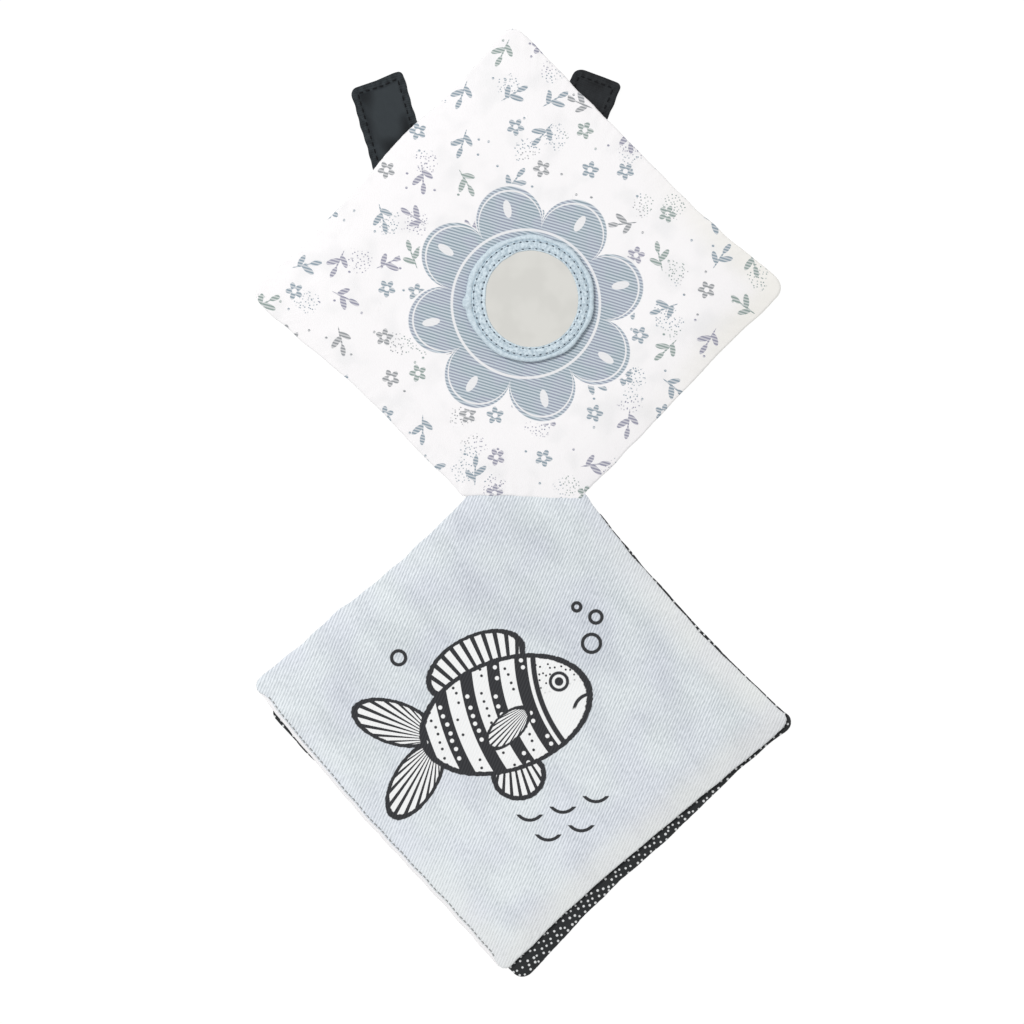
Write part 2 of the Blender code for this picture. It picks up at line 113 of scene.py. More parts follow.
# How finely a leaf is divided: around its outline and from its edge to its middle.
AROUND = 540
CORNER_POINTS, SIDE_POINTS = 13, 60
ROLL_STEPS, SKIN_RINGS, INNER_RINGS = 4, 42, 9
DISTANCE_STRIDE = 9

# The turned edge of a leaf, where its two cloths meet in a seam, and the waves of its crisp cloth.
SEAM_GAP, SEAM_DEPTH, SEAM_LIP = 0.00006, 0.00022, 0.00010
INNER_START = 0.0020
PUCKER_WAVE, PUCKER_HEIGHT, PUCKER_REACH = 0.0052, 0.00011, 0.0042
EDGE_WAVE, EDGE_WANDER = 0.021, 0.00012
WRINKLE_WAVE, WRINKLE_HEIGHT, MIRROR_LEAF_WRINKLE_HEIGHT = 0.024, 0.00022, 0.00015
WRINKLE_INSET = 0.012

# The mirror leaf's cloth reaches over leaf 2's at the fold.
OVERHANG_LEFT, OVERHANG_RIGHT, OVERHANG_LIFT = 0.00055, -0.00085, 0.00034
OVERHANG_STEP_START, OVERHANG_STEP_WIDTH = -0.008, 0.022
OVERHANG_WAVE_HEIGHT, OVERHANG_WAVES = 0.00010, 620
TUCK, TUCK_TAPER = 0.0013, 0.06
FOLD_EDGE_REACH, FOLD_RAMP = 0.0020, 0.0030

# The side of leaf 2 that is closed by a row of stitches, with the back cloth showing outside it.
CLOSING_SET_BACK, CLOSING_STITCH_INSET = 0.0011, 0.0017
CLOSING_TAPER, CLOSING_PITCH = 0.10, 0.00208
CLOSING_GAP, CLOSING_JITTER = 0.14, 0.06

# The creases of the crisp film, the lumps of the batting, and the room that each has in its layer.
CREASE_HEIGHT, CREASE_WAVE, FINE_CREASE_WAVE = 0.00009, 0.017, 0.008
LUMP_HEIGHT, LUMP_WAVE = 0.00009, 0.011
FILM_PLAY, BATTING_PLAY = 0.00006, 0.0001

# How full each soft piece is, from 0, slack, to 1, tight.
CLOTH_FILL, BATTING_FILL, FOAM_FILL = 0.25, 0.3, 0.9


def eased(share):
    """Rises from 0 to 1 with a flat start and a flat end."""
    share = np.clip(share, 0.0, 1.0)
    return share * share * (3 - 2 * share)


def around(count):
    return TURN * np.arange(count) / count


def turned(points, angle):
    cos, sin = math.cos(angle), math.sin(angle)
    x, y = points.T
    return np.stack([x * cos - y * sin, x * sin + y * cos], axis=1)


def waves(points, wavelength, seed, count=10):
    """Smooth noise of about -1 to 1: plane waves of about one length, in seeded directions."""
    angle, stretch, phase = np.random.default_rng(seed).uniform(0, 1, (3, count))
    ways = np.stack([np.cos(TURN * angle), np.sin(TURN * angle)]) / (wavelength * (0.7 + 0.8 * stretch))
    return np.sin(TURN * (points @ ways + phase)).sum(axis=1) / math.sqrt(count)


def ripple(count, turns, seed, parts=7):
    """Seeded noise around a closed outline of evenly spaced points, of about so many waves."""
    stretch, phase = np.random.default_rng(seed).uniform(0, 1, (2, parts))
    turns = np.round(turns * (0.6 + 0.8 * stretch))
    return np.sin(np.outer(around(count), turns) + TURN * phase).sum(axis=1) / math.sqrt(parts)


def measured(line):
    """How far along a line of points each of them is."""
    return np.append(0.0, np.cumsum(np.linalg.norm(np.diff(line, axis=0), axis=1)))


def points_along(line, along, wanted):
    return np.stack([np.interp(wanted, along, values) for values in line.T], axis=1)


def evenly_spaced(outline, count):
    closed = np.concatenate([outline, outline[:1]])
    along = measured(closed)
    return points_along(closed, along, np.arange(count) / count * along[-1])


def rounded_square(radius):
    """A square with round corners around (0, 0), from its corner at 45 degrees."""
    reach = HALF_SIDE - radius
    angle = np.linspace(0, math.pi / 2, CORNER_POINTS)
    corner = reach + radius * np.stack([np.cos(angle), np.sin(angle)], axis=1)
    across = reach * (1 - 2 * np.linspace(0, 1, SIDE_POINTS)[1:-1])
    quarter = np.concatenate([corner, np.stack([across, np.full(len(across), HALF_SIDE)], axis=1)])
    return np.concatenate([turned(quarter, turn * math.pi / 2) for turn in range(4)])


def cut_at_fold(outline, side, edge):
    """Keeps the points past the edge on one side of the fold line, with both crossings."""
    kept = []
    for here, following in zip(outline, np.roll(outline, -1, axis=0)):
        from_edge = side * (here[1] - FOLD[1]) - edge
        next_from_edge = side * (following[1] - FOLD[1]) - edge
        if from_edge >= 0:
            kept.append(here)
        if (from_edge >= 0) != (next_from_edge >= 0):
            kept.append(here + from_edge / (from_edge - next_from_edge) * (following - here))
    return np.array(kept)


def normals(outline):
    """The way out at each point of a closed outline that runs counterclockwise."""
    tangent = np.roll(outline, -1, axis=0) - np.roll(outline, 1, axis=0)
    tangent /= np.linalg.norm(tangent, axis=1)[:, None]
    return np.stack([tangent[:, 1], -tangent[:, 0]], axis=1)


def crown(inset):
    """How thick a leaf is at an inset from its edge."""
    return RIM_THICKNESS + CROWN_RISE * (1 - (1 - np.clip(inset / CROWN_WIDTH, 0.0, 1.0)) ** 2)


class Leaf:
    """The outline of one leaf, and the height that it lies at."""

    def __init__(self, side, turn, shift, edge, radius, bows, seed):
        angle = math.radians(turn)
        from_fold = CENTRE_FROM_FOLD + edge - FOLD_GAP / 2
        self.side, self.edge, self.seed = side, edge, seed
        self.centre = FOLD + turned(np.array([[0.0, side * from_fold]]), angle)[0] + (shift, 0.0)
        self.facing = angle + (math.pi / 4 if side > 0 else -3 * math.pi / 4)
        square = turned(rounded_square(radius), self.facing) + self.centre
        self.outline = self.bowed(evenly_spaced(cut_at_fold(square, side, edge), AROUND), bows, angle)
        self.normal = normals(self.outline)
        self.fold_share = self.share_at_fold(self.outline)
        self.girth = AROUND * math.dist(*self.outline[:2])

    def share_at_fold(self, outline):
        """1 on an outline's stretch along the fold, and 0 a little away from it."""
        return 1 - eased((self.side * (outline[:, 1] - FOLD[1]) - self.edge) / FOLD_EDGE_REACH)

    def bowed(self, outline, bows, angle):
        """The outline with its sides moved out of their straight lines, as their bows say."""
        ways = np.radians(list(bows)) + angle
        outward = np.stack([np.cos(ways), np.sin(ways)], axis=1)
        along = np.stack([-outward[:, 1], outward[:, 0]], axis=1)
        from_centre = outline - self.centre
        side = (from_centre @ outward.T).argmax(axis=1)
        offset = np.zeros(AROUND)
        for index, points in enumerate(bows.values()):
            places, lengths = np.array(points).T * MM
            here = side == index
            offset[here] = np.interp((from_centre @ along[index])[here], places, lengths)
        window = np.hanning(BOW_SPREAD + 2)[1:-1]
        padded = np.concatenate([offset[-BOW_SPREAD:], offset, offset[:BOW_SPREAD]])
        offset = np.convolve(padded, window / window.sum(), "same")[BOW_SPREAD:-BOW_SPREAD]
        return outline + normals(outline) * (offset * (1 - self.share_at_fold(outline)))[:, None]

    def inset(self, points):
        """How far each point lies inside the outline, and below zero outside it."""
        start = self.outline[::DISTANCE_STRIDE]
        end = np.roll(start, -1, axis=0)
        along = end - start
        offset = points[:, None, :] - start[None, :, :]
        share = np.clip((offset * along).sum(-1) / (along * along).sum(-1), 0.0, 1.0)
        distance = np.sqrt(((offset - share[..., None] * along) ** 2).sum(-1)).min(axis=1)
        spans = (start[:, 1] > points[:, None, 1]) != (end[:, 1] > points[:, None, 1])
        rise = np.where(along[:, 1] == 0.0, 1.0, along[:, 1])
        crossing_x = start[:, 0] + (points[:, None, 1] - start[:, 1]) / rise * along[:, 0]
        inside = (spans & (points[:, None, 0] < crossing_x)).sum(axis=1) % 2 == 1
        return np.where(inside, distance, -distance)

    def bottom(self, points):
        return np.zeros(len(points))


class MirrorLeaf(Leaf):
    """The leaf that lies on its straps, with the corners to its left and right hanging lower."""

    def bottom(self, points):
        from_middle = np.abs(points[:, 0] - self.centre[0]) - SIDE_DROOP_START
        return MIRROR_LEAF_Z - SIDE_DROOP * eased(from_middle / (HALF_DIAGONAL - SIDE_DROOP_START))


class DrapedLeaf(Leaf):
    """The leaf that comes off the fold at the mirror leaf's height and lies on the leaf below."""

    def __init__(self, below, *leaf):
        super().__init__(*leaf)
        self.below = below

    def bottom(self, points):
        down = eased((FOLD[1] - points[:, 1]) / DRAPE_LENGTH)
        hanging = MIRROR_LEAF_Z + (RIM_THICKNESS + DRAPE_RIM_CLEARANCE - MIRROR_LEAF_Z) * down
        lying = self.below.bottom(points) + crown(self.below.inset(points) + DRAPE_STIFFNESS)
        return np.maximum(hanging, lying + LAYER_GAP)


def add_object(name, data):
    obj = bpy.data.objects.new(name, data)
    bpy.context.scene.collection.objects.link(obj)
    return obj


def mark_points(obj, name, values, kind="FLOAT", field="value"):
    """Keeps a number or a place for each point of a mesh, for its material to read."""
    mark = obj.data.attributes.new(name, kind, "POINT")
    mark.data.foreach_set(field, np.asarray(values, np.float32).ravel())


def mesh_object(name, vertices, faces):
    """A smooth mesh that remembers each point's place in millimetres."""
    mesh = bpy.data.meshes.new(name)
    mesh.from_pydata(np.asarray(vertices).tolist(), [], faces)
    mesh.validate()
    shape = bmesh.new()
    shape.from_mesh(mesh)
    bmesh.ops.recalc_face_normals(shape, faces=shape.faces)
    shape.to_mesh(mesh)
    shape.free()
    mesh.shade_smooth()
    obj = add_object(name, mesh)
    mark_points(obj, "flat_mm", np.asarray(vertices) / MM, "FLOAT_VECTOR", "vector")
    return obj


def quads(low, high, count):
    """Faces between two closed rings, by the numbers of their first points."""
    following = [(at + 1) % count for at in range(count)]
    return [(low + at, high + at, high + after, low + after) for at, after in enumerate(following)]


def lofted(name, rings, middle=None, looped=False):
    """A mesh through closed rings of points, looped or with both ends closed in their middles."""
    rings = np.array(rings)
    total, count = rings.shape[:2]
    vertices = rings.reshape(-1, 3)
    faces = []
    for ring in range(total if looped else total - 1):
        faces += quads(ring * count, (ring + 1) % total * count, count)
    for ring in () if looped else (0, total - 1):
        tip = rings[ring].mean(axis=0)
        if middle is not None:
            tip[:2] = middle
        first, last = ring * count, len(vertices)
        faces += [(first + at, first + (at + 1) % count, last) for at in range(count)]
        vertices = np.concatenate([vertices, [tip]])
    return mesh_object(name, vertices, faces)


def with_height(flat, height):
    return np.column_stack([flat, np.broadcast_to(height, len(flat))])


def finish_piece(obj, surface, nodes, hold, fill=None):
    """Gives a piece its material, hides the solids that it stands for, and puts it on the body that it
    follows; at a bend it only has its place baked into its mesh.
    """
    obj.data.materials.append(surface)
    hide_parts(*nodes)
    if isinstance(hold, str):
        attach(obj, hold)
    else:
        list(hold)
        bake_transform(obj)


class Face:
    """The cloth of one face of a leaf, in rings from its edge to its middle."""

    def __init__(self, leaf, up, stride=1, set_back=0.0, wrinkle=WRINKLE_HEIGHT):
        self.leaf, self.up, self.direction = leaf, up, 1 if up else -1
        self.set_back, self.wrinkle = set_back, wrinkle
        turns = leaf.girth / EDGE_WAVE
        wander = ripple(AROUND, turns, leaf.seed) + 0.3 * ripple(AROUND, turns * 4, leaf.seed + 1)
        reach = EDGE_WANDER * wander * (1 - leaf.fold_share)
        self.outline = (leaf.outline + leaf.normal * reach[:, None])[::stride]
        self.fold_share = leaf.fold_share[::stride]
        self.puckers = ripple(AROUND, leaf.girth / PUCKER_WAVE, leaf.seed + 3)[::stride]
        self.seam_lift = self.ramp = 0.0

    def ring(self, inset):
        share = (1 - self.set_back / HALF_SIDE) * (1 - inset / HALF_SIDE)
        return self.leaf.centre + (self.outline - self.leaf.centre) * np.reshape(share, (-1, 1))

    def seam(self, flat):
        return self.leaf.bottom(flat) + RIM_THICKNESS / 2 + self.seam_lift

    def detail(self, flat, inset):
        """Puckers along the edge, and the broad waves of a leaf with crisp film in it."""
        pucker = PUCKER_HEIGHT * self.puckers * math.exp(-inset / PUCKER_REACH)
        broad = waves(flat, WRINKLE_WAVE, self.leaf.seed + 11)
        fine = waves(flat, WRINKLE_WAVE / 2.6, self.leaf.seed + 21)
        relief = self.wrinkle * eased(inset / WRINKLE_INSET) * (0.75 * broad + 0.25 * fine)
        return pucker * min(inset / (RIM_THICKNESS / 2), 1.0) + relief

    def skin(self, inset, sink=0.0):
        """One ring of the skin, or of the inside of the cloth where it is sunk."""
        flat = self.ring(inset)
        roll = RIM_THICKNESS / 2
        circle = math.sqrt(1 - (1 - min(inset / roll, 1.0)) ** 2)
        ramp = 0.25 + 0.75 * eased(inset / FOLD_RAMP)
        height = (roll - self.seam_lift) * (circle * (1 - self.ramp) + ramp * self.ramp) - sink
        if self.up:
            height = height + crown(inset + self.set_back) - RIM_THICKNESS
            if not sink:
                height = height + self.detail(flat, inset)
        return with_height(flat, self.seam(flat) + self.direction * height)

    def build(self, name):
        """From the middle of the outer face, out round the seam, and back along the inside."""
        roll = RIM_THICKNESS / 2
        edge = roll * (1 - np.cos(np.arange(ROLL_STEPS) / ROLL_STEPS * math.pi / 2))
        rest = roll + (HALF_SIDE - roll) * (np.arange(SKIN_RINGS) / SKIN_RINGS) ** 1.5
        outer = [self.skin(inset) for inset in reversed([*edge, *rest])]
        outer[-1][:, 2] += self.direction * (SEAM_GAP / 2 + SEAM_LIP)
        lip = self.ring(SEAM_DEPTH)
        seam = with_height(lip, self.seam(lip) + self.direction * SEAM_GAP / 2)
        insets = INNER_START + (HALF_SIDE - INNER_START) * (np.arange(INNER_RINGS) / INNER_RINGS) ** 1.2
        rings = np.array([*outer, seam, *(self.skin(inset, CLOTH_THICKNESS) for inset in insets)])
        obj = lofted(name, rings, self.leaf.centre)
        from_edge = self.leaf.inset(rings[:, :, :2].reshape(-1, 2))
        mark_points(obj, "edge_mm", np.append(from_edge, [HALF_SIDE, HALF_SIDE]) / MM)
        return obj


def layer(name, leaf, low, high, relief, count, stride):
    """A filling inside a leaf, between two heights over its bottom, from the filling's inset in."""
    outline = leaf.outline[::stride]
    insets = FILLING_INSET + (HALF_SIDE - FILLING_INSET) * (np.arange(count) / count) ** 1.2
    rings = []
    for height, side in ((high, insets[::-1]), (low, insets)):
        for inset in side:
            flat = leaf.centre + (outline - leaf.centre) * (1 - inset / HALF_SIDE)
            rings.append(with_height(flat, leaf.bottom(flat) + height(inset) + relief(flat)))
    return lofted(name, rings, leaf.centre)


# The round mirror: its place and heights come from the frame.
RING_LOW, RING_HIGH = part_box("mirror_ring")
FILM_LOW, FILM_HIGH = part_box("mirror_film")
BACKING_LOW, BACKING_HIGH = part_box("mirror_backing")
MIRROR = np.array([(RING_LOW.x + RING_HIGH.x) / 2, (RING_LOW.y + RING_HIGH.y) / 2])
RING_OUTER_RADIUS = (RING_HIGH.x - RING_LOW.x) / 2
FILM_RADIUS = (FILM_HIGH.x - FILM_LOW.x) / 2
RING_SEAT_RADIUS = FILM_RADIUS + 0.0005
RING_OPENING_RADIUS, OPENING_REACH, RING_EDGE = 0.0179, 0.0012, 0.0004
OPENING_SHIFT = np.array([0.0007, -0.00025])
RING_STEPS, BAND_STEPS, RIM_STEPS = 432, 30, 12
ROLLED_RIM_WIDTH, ROLLED_RIM_DROP = 0.0019, 0.00003
BAND_END = RING_OUTER_RADIUS - ROLLED_RIM_WIDTH
BAND_SHOULDER, RIM_CREASE = 0.0008, 0.00026
RIM_OVAL, OPENING_OVAL = 0.00015, 0.00030
RING_ROWS = {"outer": (0.0216, 54), "inner": (0.0189, 47)}
ROW_GROOVE_DEPTH, ROW_GROOVE_WIDTH = 0.00014, 0.00034
HOLE_DEPTH, HOLE_LENGTH, HOLE_WIDTH = 0.00030, 0.00050, 0.00030
RIM_JOINT_ANGLE, RIM_JOINT_HALF_ANGLE = math.radians(184), math.radians(7)
RIM_JOINT_RISE = 0.00075
DISC_STEPS, DISC_RINGS = 180, 16
FILM_EDGE, FOAM_EDGE = 0.00015, 0.0003

# Stitches: how far each rises over the cloth, the thread's radius, and how deep its ends sink.
STITCH_POINTS, STITCH_SIDES = 7, 8
RING_STITCH = (0.00012, 0.00016, 0.00020)
STRAP_STITCH = (0.00016, 0.00030, 0.00012)
CLOSING_STITCH = (0.00012, 0.00025, 0.00016)

# The straps, along their own +Y from the fold line of each.
STRAP_WIDTH, STRAP_THICKNESS = 0.0190, 0.0010
STRAP_TIP_LENGTH, STRAP_BASE_LENGTH = 0.0470, 0.0380
STRAP_END_REACH, STRAP_ROUNDED_LENGTH = 0.010, 0.0035
HOOK_PATCH_FROM_FOLD, HOOK_PATCH_MARGIN, HOOK_PATCH_SIDE_MARGIN = 0.0123, 0.0007, 0.0017
LOOP_PATCH_FROM_FOLD, LOOP_PATCH_MARGIN = 0.0068, 0.0032
WEBBING_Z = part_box("strap_left_tip_webbing")[0].z
PATCH_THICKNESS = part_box("strap_left_hook_patch")[1].z
PATCH_PILE_SHARE = 0.45
STRAP_STITCH_INSET, STRAP_STITCH_PITCH, STRAP_STITCH_SINK = 0.0025, 0.00260, 0.00008
STRAP_BEND, STRAP_BEND_MARGIN = 0.0040, 0.0004
STRAP_ACROSS, STRAP_STEP = 44, 0.0007
PANEL_DISH, PANEL_EDGE, WEAVE_LUMPS = 0.00022, 0.0011, 0.00009
TAPE_ON_LEAF, TAPE_WIDTH, TAPE_THICKNESS, TAPE_ACROSS = 0.0080, 0.0400, 0.0006, 40

# Hooks and loops: half the width of each as a share of its step, how much of that its tip keeps,
# and how many lie across.
PILES = {"hook": (0.22, 0.5, 13), "loop": (0.46, 0.55, 14)}

# Each stretch of cloth at a fold: the two bodies on its sides, where it starts and where it ends.
FOLD_BEND_END = FOLD[1] - LEAF_3_DROP
AT_FOLD = ("mirror_leaf", "leaf_2", (*FOLD, FOLD_Z), (FOLD[0], FOLD_BEND_END, FOLD_Z))
AT_LEAF_3 = ("leaf_2", "leaf_3", (FOLD[0], FOLD_BEND_END, 0.0), (FOLD[0], FOLD_BEND_END - LEAF_3_BEND, 0.0))


def ring_place(radius, angle):
    """Where a point of the ring lies: its opening sits a little off the middle of its rim."""
    share = (RING_OUTER_RADIUS - radius) / (RING_OUTER_RADIUS - RING_OPENING_RADIUS)
    spoke = np.stack([np.cos(angle), np.sin(angle)], axis=-1)
    return MIRROR + spoke * np.reshape(radius, (-1, 1)) + np.reshape(share, (-1, 1)) * OPENING_SHIFT


def band(radius, angle):
    """The height of the ring's upper side at a radius, and how near each place is to a needle hole."""
    share = 2 * (radius - RING_OPENING_RADIUS) / (BAND_END - RING_OPENING_RADIUS) - 1
    shoulder = BAND_SHOULDER if share < 0 else RIM_CREASE
    height = RING_HIGH.z - shoulder * (1 - math.sqrt(max(1 - abs(share) ** 5, 0.0)))
    hole = np.zeros_like(angle)
    for row, count in RING_ROWS.values():
        along = ((angle * count / TURN + 0.5) % 1.0 - 0.5) * TURN / count * row
        hole += np.exp(-((along / HOLE_LENGTH) ** 2) - ((radius - row) / HOLE_WIDTH) ** 2)
        height -= ROW_GROOVE_DEPTH * math.exp(-(((radius - row) / ROW_GROOVE_WIDTH) ** 2))
    return height - HOLE_DEPTH * hole, hole


def make_ring(surface):
    """The band with its two grooves, from its seat over the film to the rolled rim round it."""
    angle = around(RING_STEPS)
    oval = np.cos(2 * angle)
    rim_radius = ROLLED_RIM_WIDTH / 2
    wander = 0.00017 * ripple(RING_STEPS, 8, 51) + 0.00004 * ripple(RING_STEPS, 34, 52)
    wander += RIM_OVAL * (1 + oval)
    unround = 0.00013 * ripple(RING_STEPS, 5, 53) + 0.00004 * ripple(RING_STEPS, 18, 54) - OPENING_OVAL * oval
    joint = RIM_JOINT_RISE * eased(1.4 - 1.4 * np.abs(angle - RIM_JOINT_ANGLE) / RIM_JOINT_HALF_ANGLE)
    rings, holes = [], []

    def add(radius, height, hole=0.0):
        near_opening = eased(1 - (radius - RING_OPENING_RADIUS) / OPENING_REACH)
        rings.append(with_height(ring_place(radius + unround * near_opening, angle), height))
        holes.append(np.broadcast_to(hole, RING_STEPS))

    add(RING_SEAT_RADIUS, FILM_HIGH.z + LAYER_GAP * 0.8)
    add(RING_OPENING_RADIUS + RING_EDGE, FILM_HIGH.z + LAYER_GAP * 0.6)
    for step in np.arange(BAND_STEPS + 1) / BAND_STEPS:
        share = 0.35 * (1 - math.cos(math.pi * step)) / 2 + 0.65 * step
        radius = RING_OPENING_RADIUS + (BAND_END - RING_OPENING_RADIUS) * share
        add(radius, *band(radius, angle))
    for step in np.arange(RIM_STEPS + 1) / RIM_STEPS:
        out, up = math.cos(math.pi * (1 - 1.25 * step)), math.sin(math.pi * (1 - 1.25 * step))
        radius = RING_OUTER_RADIUS - rim_radius * (1 - out) + (wander + joint) * max(out + 0.4, 0.0)
        add(radius, RING_HIGH.z - ROLLED_RIM_DROP - rim_radius * (1 - up) + joint * max(up, 0.0))
    add(RING_OUTER_RADIUS - RING_EDGE, RING_LOW.z)
    add(RING_SEAT_RADIUS, RING_LOW.z)
    obj = lofted("mirror_frame_ring", rings, looped=True)
    mark_points(obj, "needle_hole", np.concatenate(holes))
    finish_piece(obj, surface, ["mirror_ring"], "mirror_leaf")


def disc(name, low, high, edge, relief):
    """A thin round sheet under the ring, with softened edges."""
    angle = around(DISC_STEPS)
    spoke = np.stack([np.cos(angle), np.sin(angle)], axis=1)
    radii = (FILM_RADIUS - edge) * np.linspace(0.06, 1.0, DISC_RINGS) ** 0.8
    places = [(radius, high) for radius in radii]
    places += [(FILM_RADIUS, high - edge * 0.6), (FILM_RADIUS, low + edge * 0.6)]
    places += [(radius, low) for radius in radii[::-5]]
    rings = []
    for radius, height in places:
        flat = MIRROR + spoke * radius
        rings.append(with_height(flat, height + relief(flat)))
    return lofted(name, rings, MIRROR)


def stitches(name, starts, ends, lift, radius, sink, direction=1):
    """Separate stitches, each a twisted thread that rises out of the cloth and goes back into it."""
    sides = around(STITCH_SIDES)
    up = np.array([0.0, 0.0, direction])
    vertices, faces = [], []
    for start, end in zip(starts, ends):
        first = len(vertices)
        across = np.cross(end - start, up)
        across /= np.linalg.norm(across)
        for share in np.arange(STITCH_POINTS) / (STITCH_POINTS - 1):
            bow = math.sin(math.pi * share) ** 0.6
            middle = start + (end - start) * share + up * (lift * bow - sink * (1 - bow))
            lobes = radius * (0.62 + 0.38 * bow) * (1 + 0.15 * np.cos(2 * sides + 5.0 * share))
            ring = middle + np.outer(np.cos(sides) * lobes, across) + np.outer(np.sin(sides) * lobes, up)
            vertices += ring.tolist()
        last = len(vertices) - STITCH_SIDES
        for low in range(first, last, STITCH_SIDES):
            faces += [(face[0], *face[:0:-1]) for face in quads(low, low + STITCH_SIDES, STITCH_SIDES)]
        faces.append(tuple(reversed(range(first, first + STITCH_SIDES))))
        faces.append(tuple(range(last, last + STITCH_SIDES)))
    return mesh_object(name, vertices, faces)


def make_mirror(surfaces):
    make_ring(surfaces["ring"])
    film = disc(
        "mirror_sheet", FILM_LOW.z, FILM_HIGH.z, FILM_EDGE, lambda flat: 0.00004 * waves(flat, 0.018, 61, 6)
    )
    finish_piece(film, surfaces["mirror"], ["mirror_film"], "mirror_leaf")
    foam = disc(
        "mirror_foam", BACKING_LOW.z, BACKING_HIGH.z, FOAM_EDGE,
        lambda flat: 0.00005 * waves(flat, 0.006, 62, 8),
    )
    finish_piece(foam, surfaces["foam"], ["mirror_backing"], "mirror_leaf", FOAM_FILL)
    height = RING_HIGH.z - ROW_GROOVE_DEPTH - BAND_SHOULDER * 0.12
    for row, (radius, count) in RING_ROWS.items():
        starts, ends = (
            with_height(ring_place(np.full(count, radius), around(count) + TURN / count * share), height)
            for share in (0.20, 0.80)
        )
        obj = stitches(f"ring_{row}_stitches", starts, ends, *RING_STITCH)
        finish_piece(obj, surfaces["ring_thread"], [f"mirror_ring_{row}_stitching"], "mirror_leaf")


class Strap:
    """The place of one strap: its fold line, its own directions across and along, and its shape.

    Its half widths, the roundings of its end and how far its end reaches out at the left, in the
    middle and at the right are its own.
    """

    def __init__(self, side, half_widths, corners, reach, seed):
        joint = JOINTS[f"strap_{side}_fold"]
        self.name, self.seed, self.reach = f"strap_{side}", seed, reach
        self.half_widths, self.corners = half_widths, corners
        self.seams = [half - STRAP_STITCH_INSET for half in half_widths]
        self.origin = np.array(joint["pos_m"][:2])
        self.across = -np.array(joint["axis"][:2])
        self.along = np.array([-self.across[1], self.across[0]])

    def place(self, across, along, height):
        across, along, height = np.broadcast_arrays(across, along, height)
        flat = self.origin + across[..., None] * self.across + along[..., None] * self.along
        return np.concatenate([flat, height[..., None]], axis=-1)

    def half_width(self, along, edge):
        """From the middle to one edge: the tip's end corner is rounded, and the edge wanders."""
        corner = self.corners[edge]
        from_end = STRAP_TIP_LENGTH - along
        cut = corner * (1 - math.sqrt(max(1 - max(1 - from_end / corner, 0.0) ** 2, 0.0)))
        wander = 0.00012 * math.sin(along * 410 + self.seed + 2 * edge)
        wander += 0.00010 * math.sin(along * 1130 + 3 * self.seed + edge)
        return self.half_widths[edge] - cut + wander

    def bent(self, across, along):
        """Where along the strap a point lies, with the shape of the end."""
        near = eased(1 - (STRAP_TIP_LENGTH - along) / STRAP_END_REACH)
        half = STRAP_WIDTH / 2
        return along + near * np.interp(across, (-0.8 * half, 0.2 * half, 0.75 * half), self.reach)

    def panel(self, across, station):
        """1 on the panel inside the tip's stitches, and 0 outside it."""
        left, right = self.seams
        margins = (
            right - across, across + left,
            station - HOOK_PATCH_FROM_FOLD, STRAP_TIP_LENGTH - STRAP_STITCH_INSET - station,
        )
        return math.prod(eased(margin / PANEL_EDGE) for margin in margins)


def strip(name, stations, count, thickness, half_widths, place, relief):
    """A flat strip of cross-sections: over the top, round one edge, back below, round the other."""
    shares = np.linspace(-1, 1, count)
    bulge = thickness * 0.32
    edge = thickness * np.array([0.72, 0.28])
    level = np.zeros(count)
    rings = []
    for station in stations:
        left, right = half_widths(station)
        across = shares * (np.where(shares < 0, left, right) - bulge)
        heights = np.concatenate([level + thickness + relief(across, station), edge, level, edge[::-1]])
        places = np.concatenate([across, [right, right], across[::-1], [-left, -left]])
        rings.append(place(places, station, heights))
    return lofted(name, rings)


def make_webbing(strap, surface):
    """One length of webbing through the fold line, with the sewn panel on its tip a little dished."""
    stations = np.arange(-STRAP_BASE_LENGTH, STRAP_TIP_LENGTH - STRAP_ROUNDED_LENGTH, STRAP_STEP)
    near_end = STRAP_TIP_LENGTH - STRAP_ROUNDED_LENGTH * (1 - np.linspace(0, 1, 12)) ** 2
    marks = []

    def relief(across, station):
        lumps = np.sin(across * 1500 + station * 700 + strap.seed) * np.sin(station * 1300 - across * 560)
        inside = strap.panel(across, station)
        return WEAVE_LUMPS * lumps * (1 - inside) - PANEL_DISH * inside

    def half_widths(station):
        return strap.half_width(station, 0), strap.half_width(station, 1)

    def place(across, station, heights):
        marks.append(strap.panel(across, station))
        return strap.place(across, strap.bent(across, station), WEBBING_Z + heights)

    obj = strip(
        strap.name + "_webbing", np.append(stations, near_end), STRAP_ACROSS, STRAP_THICKNESS, half_widths,
        place, relief,
    )
    mark_points(obj, "panel", np.concatenate([*marks, [0.0, 0.0]]))
    start, end = (strap.place(0.0, along, 0.0).tolist() for along in (-STRAP_BEND, STRAP_BEND))
    nodes = [strap.name + "_base_webbing", strap.name + "_tip_webbing"]
    finish_piece(obj, surface, nodes, ("mirror_leaf", strap.name + "_tip", start, end))


def make_strap_stitches(strap, part, low, high, height, direction, body, surface):
    """A closed row of stitches around the tip's panel, or around the half behind the leaf."""
    left, right = strap.seams
    corners = np.array([(-left, low), (right, low), (right, high), (-left, high)])
    rows = [[], []]
    for here, following in zip(corners, np.roll(corners, -1, axis=0)):
        count = max(1, round(math.dist(here, following) / STRAP_STITCH_PITCH))
        for at in range(count):
            for row, share in zip(rows, (0.18, 0.82)):
                row.append(here + (following - here) * (at + share) / count)
    starts, ends = (strap.place(x, strap.bent(x, y), height) for x, y in (np.transpose(row) for row in rows))
    obj = stitches(f"{strap.name}_{part}_stitches", starts, ends, *STRAP_STITCH, direction)
    finish_piece(obj, surface, [f"{strap.name}_{part}_stitching"], body)


